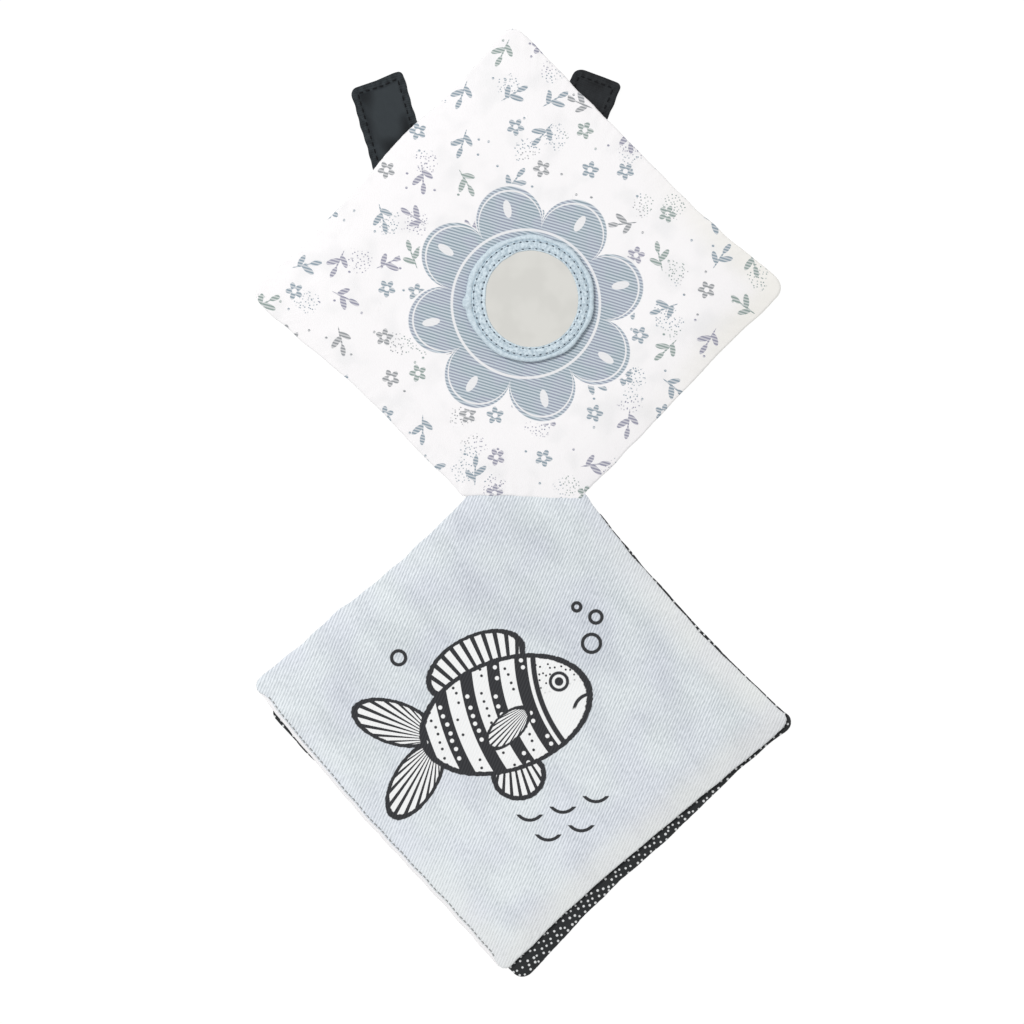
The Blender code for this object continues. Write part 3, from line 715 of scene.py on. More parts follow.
def make_patch(strap, kind, low, high, half, body, surface):
    """A sewn patch of touch fastener under the webbing: a thin base with rows of small hooks or loops."""
    width_share, tip_share, count = PILES[kind]
    pile_height = PATCH_THICKNESS * PATCH_PILE_SHARE
    step = 2 * half / count
    rows = max(2, round((high - low) / step))
    random = np.random.default_rng(strap.seed)
    vertices, faces = [], []

    def add_box(x, y, half_x, half_y, low_z, high_z, low_share=1.0, lean=0.0):
        first = len(vertices)
        corners = np.array([(-half_x, -half_y), (half_x, -half_y), (half_x, half_y), (-half_x, half_y)])
        for flat, height in ((corners, high_z), (corners * low_share + (lean, 0.0), low_z)):
            vertices.extend(strap.place(flat[:, 0] + x, flat[:, 1] + y, height))
        faces.append(tuple(range(first, first + 4)))
        faces.append(tuple(range(first + 7, first + 3, -1)))
        faces.extend(quads(first, first + 4, 4))

    add_box(0.0, (low + high) / 2, half, (high - low) / 2, pile_height, PATCH_THICKNESS)
    for row in range(rows):
        for at in range(count):
            x = -half + (at + 0.5 + random.uniform(-0.12, 0.12)) * step
            y = low + (row + 0.5 + random.uniform(-0.12, 0.12)) * (high - low) / rows
            wide, lean = step * width_share, step * random.uniform(-0.2, 0.2)
            add_box(x, y, wide, wide, 0.0, pile_height, tip_share, lean)
    obj = mesh_object(f"{strap.name}_{kind}s", vertices, faces)
    obj.data.set_sharp_from_angle(angle=math.radians(40))
    finish_piece(obj, surface, [f"{strap.name}_{kind}_patch"], body)


def make_strap(strap, webbing, surfaces):
    make_webbing(strap, webbing)
    tip, tape, thread = strap.name + "_tip", surfaces["hook_tape"], surfaces["black_thread"]
    half = STRAP_WIDTH / 2
    make_patch(
        strap, "hook", HOOK_PATCH_FROM_FOLD, STRAP_TIP_LENGTH - HOOK_PATCH_MARGIN,
        half - HOOK_PATCH_SIDE_MARGIN, tip, tape,
    )
    make_patch(
        strap, "loop", LOOP_PATCH_MARGIN - STRAP_BASE_LENGTH, -LOOP_PATCH_FROM_FOLD,
        half - LOOP_PATCH_MARGIN, "mirror_leaf", tape,
    )
    make_strap_stitches(
        strap, "tip", HOOK_PATCH_FROM_FOLD, STRAP_TIP_LENGTH - STRAP_STITCH_INSET,
        WEBBING_Z + STRAP_THICKNESS - STRAP_STITCH_SINK, 1, tip, thread,
    )
    make_strap_stitches(
        strap, "base", STRAP_STITCH_INSET - STRAP_BASE_LENGTH, -STRAP_BEND - STRAP_BEND_MARGIN,
        WEBBING_Z, -1, "mirror_leaf", thread,
    )


def make_tape(surface):
    """The tape under the fold, from the mirror leaf down to leaf 3."""
    top = MIRROR_LEAF_Z - LAYER_GAP
    far = -LEAF_3_DROP + LAYER_GAP
    half_widths = (TAPE_WIDTH / 2, TAPE_WIDTH / 2)

    def place(across, station, heights):
        down = np.clip(station / far, 0.0, 1.0) * (top - RIM_THICKNESS)
        flat = with_height(FOLD[0] - across, FOLD[1] + station)
        return with_height(flat, top - TAPE_THICKNESS - down + heights)

    obj = strip(
        "fold_binding_tape", np.append(np.linspace(TAPE_ON_LEAF, 0.0, 12)[:-1], np.linspace(0.0, far, 10)),
        TAPE_ACROSS, TAPE_THICKNESS, lambda station: half_widths, place, lambda across, station: 0.0,
    )
    finish_piece(obj, surface, ["binding_tape_upper", "binding_tape_lower"], AT_FOLD)


def make_fillings(leaf, body, surfaces):
    """Crisp film and batting inside a leaf, clear of its two cloths."""
    film_top = CLOTH_THICKNESS + LAYER_GAP
    film_bottom = film_top + FILM_THICKNESS

    def creases(flat):
        broad, fine = waves(flat, CREASE_WAVE, leaf.seed + 30), waves(flat, FINE_CREASE_WAVE, leaf.seed + 31)
        return CREASE_HEIGHT * (np.abs(broad) + 0.5 * np.abs(fine) - 0.9)

    film = layer(
        body + "_crisp_film", leaf, lambda inset: crown(inset) - film_bottom + FILM_PLAY,
        lambda inset: crown(inset) - film_top - FILM_PLAY, creases, 20, 3,
    )
    finish_piece(film, surfaces["crinkle_film"], [body + "_crinkle_film"], body)
    batting = layer(
        body + "_soft_filling", leaf, lambda inset: film_top + BATTING_PLAY,
        lambda inset: crown(inset) - film_bottom - LAYER_GAP - BATTING_PLAY,
        lambda flat: LUMP_HEIGHT * waves(flat, LUMP_WAVE, leaf.seed + 40), 14, 4,
    )
    finish_piece(batting, surfaces["batting"], [body + "_batting"], body, BATTING_FILL)


def closing_window(leaf):
    """1 along the side of leaf 2 that is closed by hand, at its lower left, and 0 elsewhere."""
    out = np.array([math.cos(leaf.facing), math.sin(leaf.facing)])
    along = (leaf.outline - leaf.centre) @ (-out[1], out[0]) / HALF_SIDE
    return (leaf.normal @ out > 0.9) * eased((1 - np.abs(along)) / CLOSING_TAPER)


def make_leaves(surfaces):
    edge = FOLD_GAP / 2
    mirror_leaf = MirrorLeaf(1, *MIRROR_LEAF_SET, edge, LEAF_CORNER_RADIUS, MIRROR_LEAF_BOWS, 100)
    leaf_3 = Leaf(-1, *LEAF_3_SET, LEAF_3_DROP, LEAF_CORNER_RADIUS, LEAF_3_BOWS, 300)
    leaf_2 = DrapedLeaf(leaf_3, -1, *LEAF_2_SET, edge, LEAF_2_CORNER_RADIUS, LEAF_2_BOWS, 200)

    white = Face(mirror_leaf, True, wrinkle=MIRROR_LEAF_WRINKLE_HEIGHT)
    from_middle = white.outline[:, 0] - FOLD[0]
    across = eased((from_middle - OVERHANG_STEP_START) / OVERHANG_STEP_WIDTH)
    reach = OVERHANG_LEFT + (OVERHANG_RIGHT - OVERHANG_LEFT) * across
    reach += OVERHANG_WAVE_HEIGHT * np.sin(from_middle * OVERHANG_WAVES)
    white.outline[:, 1] += (FOLD[1] + reach - white.outline[:, 1]) * white.fold_share
    white.seam_lift = OVERHANG_LIFT * white.fold_share

    blue = Face(leaf_2, True, set_back=CLOSING_SET_BACK * closing_window(leaf_2))
    blue.outline[:, 1] += (FOLD[1] + TUCK - blue.outline[:, 1]) * blue.fold_share
    blue.outline[:, 0] -= (blue.outline[:, 0] - FOLD[0]) * blue.fold_share * TUCK_TAPER
    blue.ramp = blue.fold_share

    for name, face, surface, hold in (
        ("mirror_leaf_front", white, "printed_white", "mirror_leaf"),
        ("mirror_leaf_back", Face(mirror_leaf, False, 2), "scattered_white", "mirror_leaf"),
        ("leaf_2_front", blue, "printed_blue", AT_FOLD),
        ("leaf_2_back", Face(leaf_2, False, 2), "plain_white", AT_FOLD),
        ("leaf_3_front", Face(leaf_3, True), "dotted", AT_LEAF_3),
        ("leaf_3_back", Face(leaf_3, False, 2), "plain_blue", AT_LEAF_3),
    ):
        finish_piece(face.build(name), surfaces[surface], [name + "_cloth"], hold, CLOTH_FILL)
    for leaf, body in ((mirror_leaf, "mirror_leaf"), (leaf_2, "leaf_2"), (leaf_3, "leaf_3")):
        make_fillings(leaf, body, surfaces)
    make_closing_stitches(blue, surfaces["grey_thread"])


def make_closing_stitches(face, surface):
    """The row that closes leaf 2, just inside the edge of its blue cloth."""
    chosen = np.flatnonzero(face.set_back > CLOSING_SET_BACK * 0.5)
    if chosen[-1] - chosen[0] > len(chosen):
        chosen = np.roll(chosen, -1 - int(np.argmax(np.diff(chosen))))
    line = face.skin(CLOSING_STITCH_INSET - CLOSING_SET_BACK)[chosen]
    along = measured(line)
    count = int(along[-1] / CLOSING_PITCH)
    jitter = np.random.default_rng(7).uniform(-CLOSING_JITTER, CLOSING_JITTER, (2, count))
    starts, ends = (
        points_along(line, along, (np.arange(count) + share + shift) * along[-1] / count)
        for share, shift in zip((CLOSING_GAP, 1 - CLOSING_GAP), jitter)
    )
    obj = stitches("leaf_2_closing_stitches", starts, ends, *CLOSING_STITCH)
    finish_piece(obj, surface, ["leaf_2_closing_stitching"], "leaf_2")


# Materials. A Field is one output of a node, and sums of fields add nodes to its material.
class Field:
    def __init__(self, socket):
        self.socket = socket

    def __add__(self, other):
        return operate("ADD", self, other)

    def __sub__(self, other):
        return operate("SUBTRACT", self, other)

    def __rsub__(self, other):
        return operate("SUBTRACT", other, self)

    def __mul__(self, other):
        return operate("MULTIPLY", self, other)

    __radd__, __rmul__ = __add__, __mul__


def add_node(kind, values, **settings):
    """A node with its settings, and fields or plain values on the inputs that are named or numbered."""
    tree = next(value.socket.id_data for value in values.values() if isinstance(value, Field))
    made = tree.nodes.new("ShaderNode" + kind)
    for name, value in settings.items():
        setattr(made, name, value)
    for key, value in values.items():
        if isinstance(value, Field):
            tree.links.new(value.socket, made.inputs[key])
        else:
            made.inputs[key].default_value = value
    return made


def field(kind, values, wanted=0, **settings):
    """One output of such a node."""
    return Field(add_node(kind, values, **settings).outputs[wanted])


def operate(operation, *values):
    return field("Math", dict(enumerate(values)), operation=operation)


def absolute(value):
    return operate("ABSOLUTE", value)


def sine(value):
    return operate("SINE", value)


def cosine(value):
    return operate("COSINE", value)


def largest(first, *others):
    for other in others:
        first = operate("MAXIMUM", first, other)
    return first


def smooth(value, low, high):
    """Rises smoothly from 0 at low to 1 at high, or falls where low is the larger."""
    values = {"Value": value, "From Min": low, "From Max": high}
    return field("MapRange", values, interpolation_type="SMOOTHSTEP")


def mix(first, second, share):
    return field("Mix", {0: share, 6: first, 7: second}, 2, data_type="RGBA")


def mapped(place, at=(0.0, 0.0), angle=0.0, size=(1.0, 1.0)):
    """The place as seen from a point, turned by degrees and measured in sizes of its own."""
    values = {
        "Vector": place, "Location": (*at, 0.0), "Rotation": (0.0, 0.0, math.radians(angle)),
        "Scale": (*size, 1.0),
    }
    return field("Mapping", values, vector_type="TEXTURE")


def parts(place):
    made = add_node("SeparateXYZ", {0: place})
    return Field(made.outputs[0]), Field(made.outputs[1])


def joined(x, y):
    return field("CombineXYZ", {0: x, 1: y})


def between(place, other):
    return field("VectorMath", {0: place, 1: other}, operation="SUBTRACT")


def length(place):
    return field("VectorMath", {0: place}, "Value", operation="LENGTH")


def bearing(place):
    """The angle that a place is seen at, in radians."""
    x, y = parts(place)
    return operate("ARCTAN2", y, x)


def noise(place, size, seed, detail=2.0, angle=0.0, solid=False):
    """Soft noise of about 0.3 to 0.7, with lumps of about one size, or of one size each way."""
    size = size if isinstance(size, tuple) else (size, size)
    spot = mapped(place, (seed * 37.0, seed * 53.0), angle, size)
    values = {"Vector": spot, "Scale": 1.0, "Detail": detail}
    return field("TexNoise", values, noise_dimensions="3D" if solid else "2D")


def cells(place, pitch, randomness, seed=0.0):
    """Scattered points: how far the nearest is, its three random numbers and the way from it."""
    spot = mapped(place, (seed * 41.0, seed * 29.0), size=(pitch, pitch))
    values = {"Vector": spot, "Scale": 1.0, "Randomness": randomness}
    made = add_node("TexVoronoi", values, voronoi_dimensions="2D")
    distance, colour, position = (Field(made.outputs[name]) for name in ("Distance", "Color", "Position"))
    numbers = [Field(output) for output in add_node("SeparateColor", {0: colour}).outputs]
    offset = field("VectorMath", {0: between(spot, position), "Scale": pitch}, operation="SCALE")
    return distance * pitch, numbers, offset


def stripes(value, pitch, phase=0.0):
    """A wave of 0 to 1 along a value."""
    return sine(value * (TURN / pitch) + phase) * 0.5 + 0.5


def outside(place, at, angle, size):
    """How far a place lies outside an ellipse, in millimetres, and below zero inside it."""
    return (length(mapped(place, at, angle, size)) - 1.0) * (sum(size) / 2)


def covered(distance, level=0.0, blur=0.16):
    """1 where a distance is below a level."""
    return smooth(distance, level + blur, level - blur)


def linear(*channels):
    """An 8-bit screen colour as the linear one that a shader takes."""
    shares = [channel / 255 for channel in channels]
    light = [share / 12.92 if share <= 0.04045 else ((share + 0.055) / 1.055) ** 2.4 for share in shares]
    return (*light, 1.0)


class Surface:
    """One material on a Principled shader, painted by each point's place at rest in millimetres."""

    def __init__(self, name, roughness, sheen=0.0, **plain):
        self.material = bpy.data.materials.new(name)
        self.material.use_nodes = True
        self.tree = self.material.node_tree
        self.shader = self.tree.nodes["Principled BSDF"]
        for socket, value in {"roughness": roughness, "sheen_weight": sheen, **plain}.items():
            self.shader.inputs[socket.replace("_", " ").title().replace("Ior", "IOR")].default_value = value
        self.place = self.attribute("flat_mm", "Vector")
        self.flat = joined(*parts(self.place))

    def attribute(self, name, output="Fac"):
        made = self.tree.nodes.new("ShaderNodeAttribute")
        made.attribute_name = name
        return Field(made.outputs[output])

    def link(self, value, socket):
        self.tree.links.new(value.socket, self.shader.inputs[socket])

    def finished(self, colour, bumps):
        """The material, with a colour and bumps of a height in millimetres."""
        self.link(colour, "Base Color")
        self.link(field("Bump", {"Strength": 1.0, "Distance": MM, "Height": bumps}), "Normal")
        return self.material

    def two_tone(self, grain, dark, light, low, high, depth):
        """The material with a grain that goes from one colour to another, and stands up by a depth."""
        return self.finished(mix(linear(*dark), linear(*light), smooth(grain, low, high)), grain * depth)


# Colours as they look on the screen.
WHITE_CLOTH, WHITE_CLOTH_DIM = linear(250, 248, 249), linear(242, 241, 242)
PRINT_WHITE, RIB_LIGHT = linear(247, 247, 246), linear(238, 243, 247)
INK, INK_LIGHT = linear(45, 46, 49), linear(64, 65, 68)
PALE_PRINT = linear(206, 215, 222)
DEEP_PRINT = (linear(133, 150, 161), linear(143, 149, 168))
TINTS = (linear(130, 149, 162), linear(141, 141, 162), linear(134, 153, 148), linear(138, 142, 146))
TWILL_DARK = (linear(178, 184, 193), linear(180, 188, 193))
TWILL_LIGHT = (linear(236, 241, 248), linear(239, 245, 248))
# The next two are painted: a warm light for the blue twill's right side and a warm shade for the white
# cotton's right corner.
WARM_EDGE_LIGHT, CREAM_EDGE_SHADE = linear(238, 236, 230), linear(243, 241, 234)
DOTTED_DARK, DOTTED_DARKER, DOT = linear(48, 50, 51), linear(38, 40, 42), linear(226, 228, 228)
# The last colour here is the painted shade in the ring's needle holes.
LEATHER_LIGHT, LEATHER_DARK, HOLE_SHADE = linear(216, 230, 238), linear(168, 185, 196), linear(58, 72, 86)

# The prints: places in the book's plane, or in the fish's own one, and sizes, in millimetres and degrees.
HATCH_ANGLE, HATCH_PITCH = -16.5, 1.10
MOTIF_PITCH, MOTIF_SCALE = 15.6, 0.96
FLOWER_PLACE = (MIRROR[0] / MM - 1.5, MIRROR[1] / MM - 2.0)
FLOWER_TURN, FLOWER_PETALS = 11.0, 8
FLOWER_TIP, FLOWER_NOTCH = 45.0, 31.0
TWILL_ANGLE, TWILL_PITCH = 67.0, 1.085
FISH_PLACE, FISH_TURN, FISH_SCALE = (-8.0, -80.0), 20.0, 1.1
BAND_CENTRE, BAND_PITCH, BAND_PHASE = (64.0, 0.0), 9.6, 0.6
BUBBLES = (((37.0, 13.0), 3.1), ((41.5, 21.0), 2.1), ((36.5, 26.5), 1.4), ((-27.0, 31.0), 2.4))
WAVES = ((2.0, -114.0), (14.5, -111.0), (27.0, -107.0), (9.0, -121.5), (21.5, -118.0))
WAVE_RADIUS, LINE_HALF_WIDTH = 5.5, 0.6

# How far apart the leather's pebbles and the foam's pores are, in millimetres.
PEBBLE_PITCH, PORE_PITCH = 0.62, 0.9


def weave(flat, pitch, seed):
    """A plain weave: threads over and under each other, a little uneven."""
    x, y = parts(flat)
    wander = noise(flat, pitch * 9, seed) * (pitch * 1.6)
    return sine((x + wander) * (math.pi / pitch)) * sine((y + wander) * (math.pi / pitch)) * 0.5 + 0.5


def flower(flat):
    """How far a place lies outside the flower, the place seen from the nearest petal, and its radius."""
    local = mapped(flat, FLOWER_PLACE, FLOWER_TURN)
    reach, angle = length(local), bearing(local)
    wave = operate("POWER", absolute(cosine(angle * (FLOWER_PETALS / 2))), 0.55)
    share = math.pi / FLOWER_PETALS
    petal_angle = share - operate("PINGPONG", angle + (math.pi + share), share)
    petal = joined(reach * cosine(petal_angle), reach * sine(petal_angle))
    return reach - (wave * (FLOWER_TIP - FLOWER_NOTCH) + FLOWER_NOTCH), petal, reach


def sprig(spot):
    """A small stalk with leaves, around a point."""
    distance = outside(spot, (0.0, -0.6), 90.0, (4.6, 0.34))
    for at, angle, size in (
        ((2.0, 0.6), 40.0, (2.9, 1.15)), ((-1.9, -1.2), 138.0, (2.6, 1.05)), ((0.1, 4.4), 84.0, (2.3, 1.0))
    ):
        distance = operate("MINIMUM", distance, outside(spot, at, angle, size))
    return distance


def blossom(spot):
    """Five small petals round an open heart."""
    edge = absolute(cosine(bearing(spot) * 2.5)) * 2.0 + 1.5
    return largest(length(spot) - edge, 1.0 - length(spot))


def small_motifs(flat):
    """Scattered sprigs and blossoms, each turned and tinted its own way: where they are, and their tint."""
    random, offset = cells(flat, MOTIF_PITCH, 0.55, 2.0)[1:]
    own = field("VectorRotate", {"Vector": offset, "Angle": random[0] * -TURN}, rotation_type="Z_AXIS")
    spot = mapped(own, size=(MOTIF_SCALE, MOTIF_SCALE))
    plant = sprig(spot)
    distance = plant + (blossom(spot) - plant) * operate("GREATER_THAN", random[1], 0.55)
    tint = TINTS[0]
    for colour, level in zip(TINTS[1:], (0.4, 0.62, 0.82)):
        tint = mix(tint, colour, operate("GREATER_THAN", random[2], level))
    return covered(distance), tint


def dot_clusters(flat):
    """Fine dots that gather in patches, with a few larger ones between them."""
    dots = covered(cells(flat, 1.25, 1.0, 5.0)[0], 0.27, 0.07)
    patch = smooth(cells(flat, 25.0, 0.9, 5.0)[0] + noise(flat, 4.0, 7.0) * 5.0, 7.4, 6.6)
    return largest(dots * patch, covered(cells(flat, 13.0, 1.0, 6.0)[0], 0.5, 0.1))


def printed_white(name, with_flower):
    """Fine white cotton, printed with pale blue-grey hatched motifs, with a painted warm shade towards its
    right corner.
    """
    surface = Surface(name, 0.85, sheen=0.12, specular_ior_level=0.25)
    flat = surface.flat
    threads = weave(flat, 0.42, 1.0)
    colour = mix(WHITE_CLOTH_DIM, WHITE_CLOTH, smooth(noise(flat, 14.0, 4.0), 0.25, 0.55))
    colour = mix(colour, WHITE_CLOTH_DIM, threads * 0.18)
    # Painted warm shade towards the right corner, near the edge.
    right_corner_shade = smooth(parts(flat)[0], 35.0, 90.0) * smooth(surface.attribute("edge_mm"), 14.0, 2.0)
    colour = mix(colour, CREAM_EDGE_SHADE, right_corner_shade * 0.7)
    wander = noise(flat, (12.0, 5.0), 3.0, angle=HATCH_ANGLE) * 0.4
    lines = stripes(parts(mapped(flat, angle=HATCH_ANGLE))[1] + wander, HATCH_PITCH)
    motifs, tint = small_motifs(flat)
    scatter = largest(motifs, dot_clusters(flat))
    if with_flower:
        away, petal, reach = flower(flat)
        scatter = scatter * smooth(away, 0.8, 1.4)
    colour = mix(colour, mix(tint, WHITE_CLOTH_DIM, lines * 0.62), scatter)
    if with_flower:
        deep = mix(*DEEP_PRINT, smooth(noise(flat, 9.0, 6.0, 1.0), 0.38, 0.62))
        colour = mix(colour, mix(PALE_PRINT, deep, lines), covered(away, 0.0, 0.25))
        rim = covered(absolute(away + 1.7), 0.35, 0.15)
        spots = covered(outside(petal, (FLOWER_NOTCH + 5.5, 0.0), 0.0, (3.4, 1.5)))
        heart = covered(absolute(reach - (FLOWER_NOTCH - 3.0)), 0.5, 0.2)
        colour = mix(colour, WHITE_CLOTH_DIM, largest(rim, spots, heart) * 0.9)
    return surface.finished(colour, threads * 0.03 + noise(flat, 2.6, 9.0, 3.0) * 0.05)


def blue_twill(name):
    """Pale blue cotton twill in broad soft clouds of lavender and green, paler towards its edges with painted
    light, and with painted light and shade of soft creases.
    """
    surface = Surface(name, 0.88, sheen=0.15, specular_ior_level=0.25)
    flat = surface.flat
    x, y = parts(flat)
    across = parts(mapped(flat, angle=TWILL_ANGLE))[1]
    wander = noise(flat, (9.0, 3.0), 11.0, angle=TWILL_ANGLE) * (TWILL_PITCH * 0.55)
    ribs = smooth(stripes(across + wander, TWILL_PITCH), 0.1, 0.9)
    streaks = smooth(noise(flat, (1.7, 0.5), 12.0, angle=TWILL_ANGLE), 0.34, 0.64)
    weft = stripes(parts(mapped(flat, angle=40.0))[1], 2.05)
    cloud = smooth(noise(flat, 24.0, 21.0, 1.0), 0.30, 0.70)
    # The crease patches below are painted light and shade of soft dents in the cloth.
    creases = smooth(noise(flat, (26.0, 11.0), 27.0, 1.0, angle=-50.0), 0.36, 0.60)
    from_edge = surface.attribute("edge_mm")
    # Paler towards the bottom; paler near the edges, as painted light on their rounding; darker towards the
    # fold.
    pale = smooth(y, -40.0, -150.0) * 0.20 + smooth(from_edge, 13.0, 1.0) * 0.16 + cloud * 0.06
    pale = pale + creases * 0.11 - smooth(y, -34.0, 2.0) * 0.08
    light_share = ribs * 0.52 + streaks * 0.26 + weft * 0.08 + pale - 0.02
    colour = mix(mix(*TWILL_DARK, cloud), mix(*TWILL_LIGHT, cloud), light_share)
    # Painted warm light along the right side, near the edge.
    right_side_light = smooth(x - y * 0.5, 10.0, 90.0) * smooth(from_edge, 15.0, 2.0)
    bumps = ribs * 0.04 + streaks * 0.02 + noise(flat, 0.6, 31.0) * 0.03
    return surface, mix(colour, WARM_EDGE_LIGHT, right_side_light * 0.4), ribs, bumps


def plain_blue():
    surface, colour, _, bumps = blue_twill("blue_twill")
    return surface.finished(colour, bumps)


def printed_blue():
    """The blue twill with a banded fish in dark ink and white."""
    surface, colour, ribs, bumps = blue_twill("blue_twill_with_fish")
    white = mix(PRINT_WHITE, RIB_LIGHT, ribs * 0.35)
    ink = mix(INK, INK_LIGHT, ribs * 0.6)
    fish = mapped(surface.flat, FISH_PLACE, FISH_TURN, (FISH_SCALE, FISH_SCALE))
    uneven = (noise(surface.flat, 1.5, 41.0) - 0.5) * 0.7
    y = parts(fish)[1]

    def shape(distance, fill, line=1.7):
        inked = mix(colour, ink, covered(distance + uneven))
        return mix(inked, fill, covered(distance + uneven, -line))

    def rays(root, count):
        angle = bearing(mapped(fish, root))
        return mix(white, ink, smooth(stripes(angle, TURN / count), 0.60, 0.72))

    def bands(bow):
        return stripes(bow, BAND_PITCH, BAND_PHASE)

    def dots(pitch, radius, seed, low, high):
        """Dots in loose rows, each shown whole where its own middle is in a band."""
        distance, _, offset = cells(fish, pitch, 0.3, seed)
        middle_bow = length(mapped(between(fish, offset), BAND_CENTRE))
        return covered(distance, radius, 0.12) * smooth(bands(middle_bow), low, high)

    for at, angle, size, root, count in (
        ((-36.0, 10.5), -38.0, (15.5, 7.6), (-24.0, 0.0), 56),
        ((-36.0, -10.5), 38.0, (15.5, 7.6), (-24.0, 0.0), 56),
        ((-3.0, 19.5), 7.0, (18.5, 10.5), (2.0, -8.0), 58),
        ((-2.0, -21.0), -14.0, (9.5, 8.8), (0.0, -4.0), 50),
    ):
        colour = shape(outside(fish, at, angle, size), rays(root, count))

    body = outside(fish, (1.0, 0.0), 0.0, (31.0, 19.5))
    bow = length(mapped(fish, BAND_CENTRE))
    scales = mix(ink, white, smooth(bands(bow), 0.40, 0.46))
    scales = mix(scales, white, dots(3.1, 0.72, 3.0, 0.11, 0.10))
    scales = mix(scales, ink, dots(2.7, 0.50, 6.0, 0.88, 0.89))
    freckles = covered(cells(fish, 2.3, 0.6, 8.0)[0], 0.36, 0.1) * smooth(y, 1.0, 6.0)
    scales = mix(scales, mix(white, ink, freckles), smooth(bow, 49.6, 49.2))
    scales = mix(scales, ink, covered(absolute(bow - 50.0), 0.9))
    colour = shape(body, scales, 1.9)
    colour = shape(outside(fish, (0.0, -4.5), 24.0, (9.8, 5.0)), rays((12.0, 1.0), 76), 1.2)

    eye = length(mapped(fish, (22.0, 4.5)))
    for radius, fill in ((3.5, ink), (2.4, white), (1.5, ink)):
        colour = mix(colour, fill, covered(eye, radius))
    mouth = covered(absolute(length(mapped(fish, (29.0, -9.0))) - 6.0), LINE_HALF_WIDTH)
    colour = mix(colour, ink, mouth * covered(body, -0.8) * smooth(y, -6.5, -5.5))
    for at, radius in BUBBLES:
        colour = mix(colour, ink, covered(absolute(length(mapped(fish, at)) - radius), LINE_HALF_WIDTH))
    for at in WAVES:
        local = mapped(surface.flat, at)
        crest = covered(absolute(length(local) - WAVE_RADIUS), LINE_HALF_WIDTH + 0.02)
        colour = mix(colour, ink, crest * smooth(parts(local)[1], -3.2, -3.5))
    return surface.finished(colour, bumps)


def dotted_cloth():
    """Charcoal cotton with small pale dots in loose rows."""
    surface = Surface("dotted_cotton", 0.9, sheen=0.10, specular_ior_level=0.2)
    flat = surface.flat
    threads = weave(flat, 0.40, 2.0)
    colour = mix(DOTTED_DARKER, DOTTED_DARK, threads * 0.6 + noise(flat, 6.0, 51.0) * 0.6)
    distance, random, _ = cells(mapped(flat, angle=20.0), 2.25, 0.5, 4.0)
    colour = mix(colour, DOT, covered(distance - random[0] * 0.12, 0.38, 0.10))
    return surface.finished(colour, threads * 0.04)


def plain_white():
    surface = Surface("plain_white_cotton", 0.88, sheen=0.10, specular_ior_level=0.25)
    threads = weave(surface.flat, 0.42, 5.0)
    colour = mix(WHITE_CLOTH_DIM, WHITE_CLOTH, threads * 0.5 + noise(surface.flat, 10.0, 6.0) * 0.5)
    return surface.finished(colour, threads * 0.04)


def ring_leather():
    """Blue-grey imitation leather: fine pebbles, cloudy colour, painted highlights on the rolled rim and
    round the opening, and needle holes darkened with painted shade.
    """
    surface = Surface("ring_leather", 0.62, sheen=0.08, specular_ior_level=0.4)
    reach = length(mapped(surface.flat, tuple(MIRROR / MM)))
    # rolled marks the rolled rim, smoother in colour and lighter with a painted highlight; lip marks a
    # painted highlight round the opening.
    rolled, lip = smooth(reach, 22.0, 23.0), smooth(reach, 18.7, 18.2)
    cloud = smooth(noise(surface.place, 1.2, 61.0, 4.0), 0.34, 0.66) * (1.0 - rolled * 0.55)
    pebble = cells(surface.flat, PEBBLE_PITCH, 1.0, 7.0)[0] * (1 / PEBBLE_PITCH)
    colour = mix(LEATHER_DARK, LEATHER_LIGHT, cloud * 0.75 + pebble * 0.35 + rolled * 0.34 + lip * 0.35)
    # Painted shade in the needle holes.
    colour = mix(colour, HOLE_SHADE, smooth(surface.attribute("needle_hole"), 0.22, 0.62))
    grain = noise(surface.flat, 1.2, 63.0, 3.0)
    return surface.finished(colour, smooth(pebble, 0.65, 0.2) * 0.03 + grain * 0.04)


def thread(name, light, dark):
    """Thread whose plies run slanted across it."""
    surface = Surface(name, 0.8, specular_ior_level=0.2)
    ply = stripes(parts(mapped(surface.flat, angle=45.0))[0], 0.30)
    return surface.finished(mix(linear(*dark), linear(*light), ply), ply * 0.02)


def webbing(name, angle, light, dark, smoothness):
    """Narrow woven tape: cords across it, finer threads along it, and less of both on its panel, which
    carries a painted sheen.
    """
    surface = Surface(name, 0.7, sheen=0.04, specular_ior_level=0.2)
    local = mapped(surface.flat, angle=angle)
    across, along = parts(local)
    wander = noise(local, (3.0, 1.2), 71.0) * 0.35
    border = 1.0 - surface.attribute("panel") * smoothness
    cords = stripes(along + wander, 0.86) * border
    threads = stripes(across + along * 0.5 + wander, 0.62) * border
    mottle = smooth(noise(local, (1.5, 2.4), 73.0, 3.0), 0.3, 0.7) * border
    # A painted sheen in broad slanted patches across the panel.
    sheen = smooth(noise(local, (9.0, 14.0), 77.0, 0.0, angle=35.0), 0.35, 0.65) * (1.0 - border)
    colour = mix(linear(*dark), linear(*light), cords * 0.26 + threads * 0.22 + mottle * 0.50 + sheen * 0.8)
    return surface.finished(colour, cords * 0.05 + threads * 0.04 + noise(local, 0.7, 75.0) * border * 0.06)


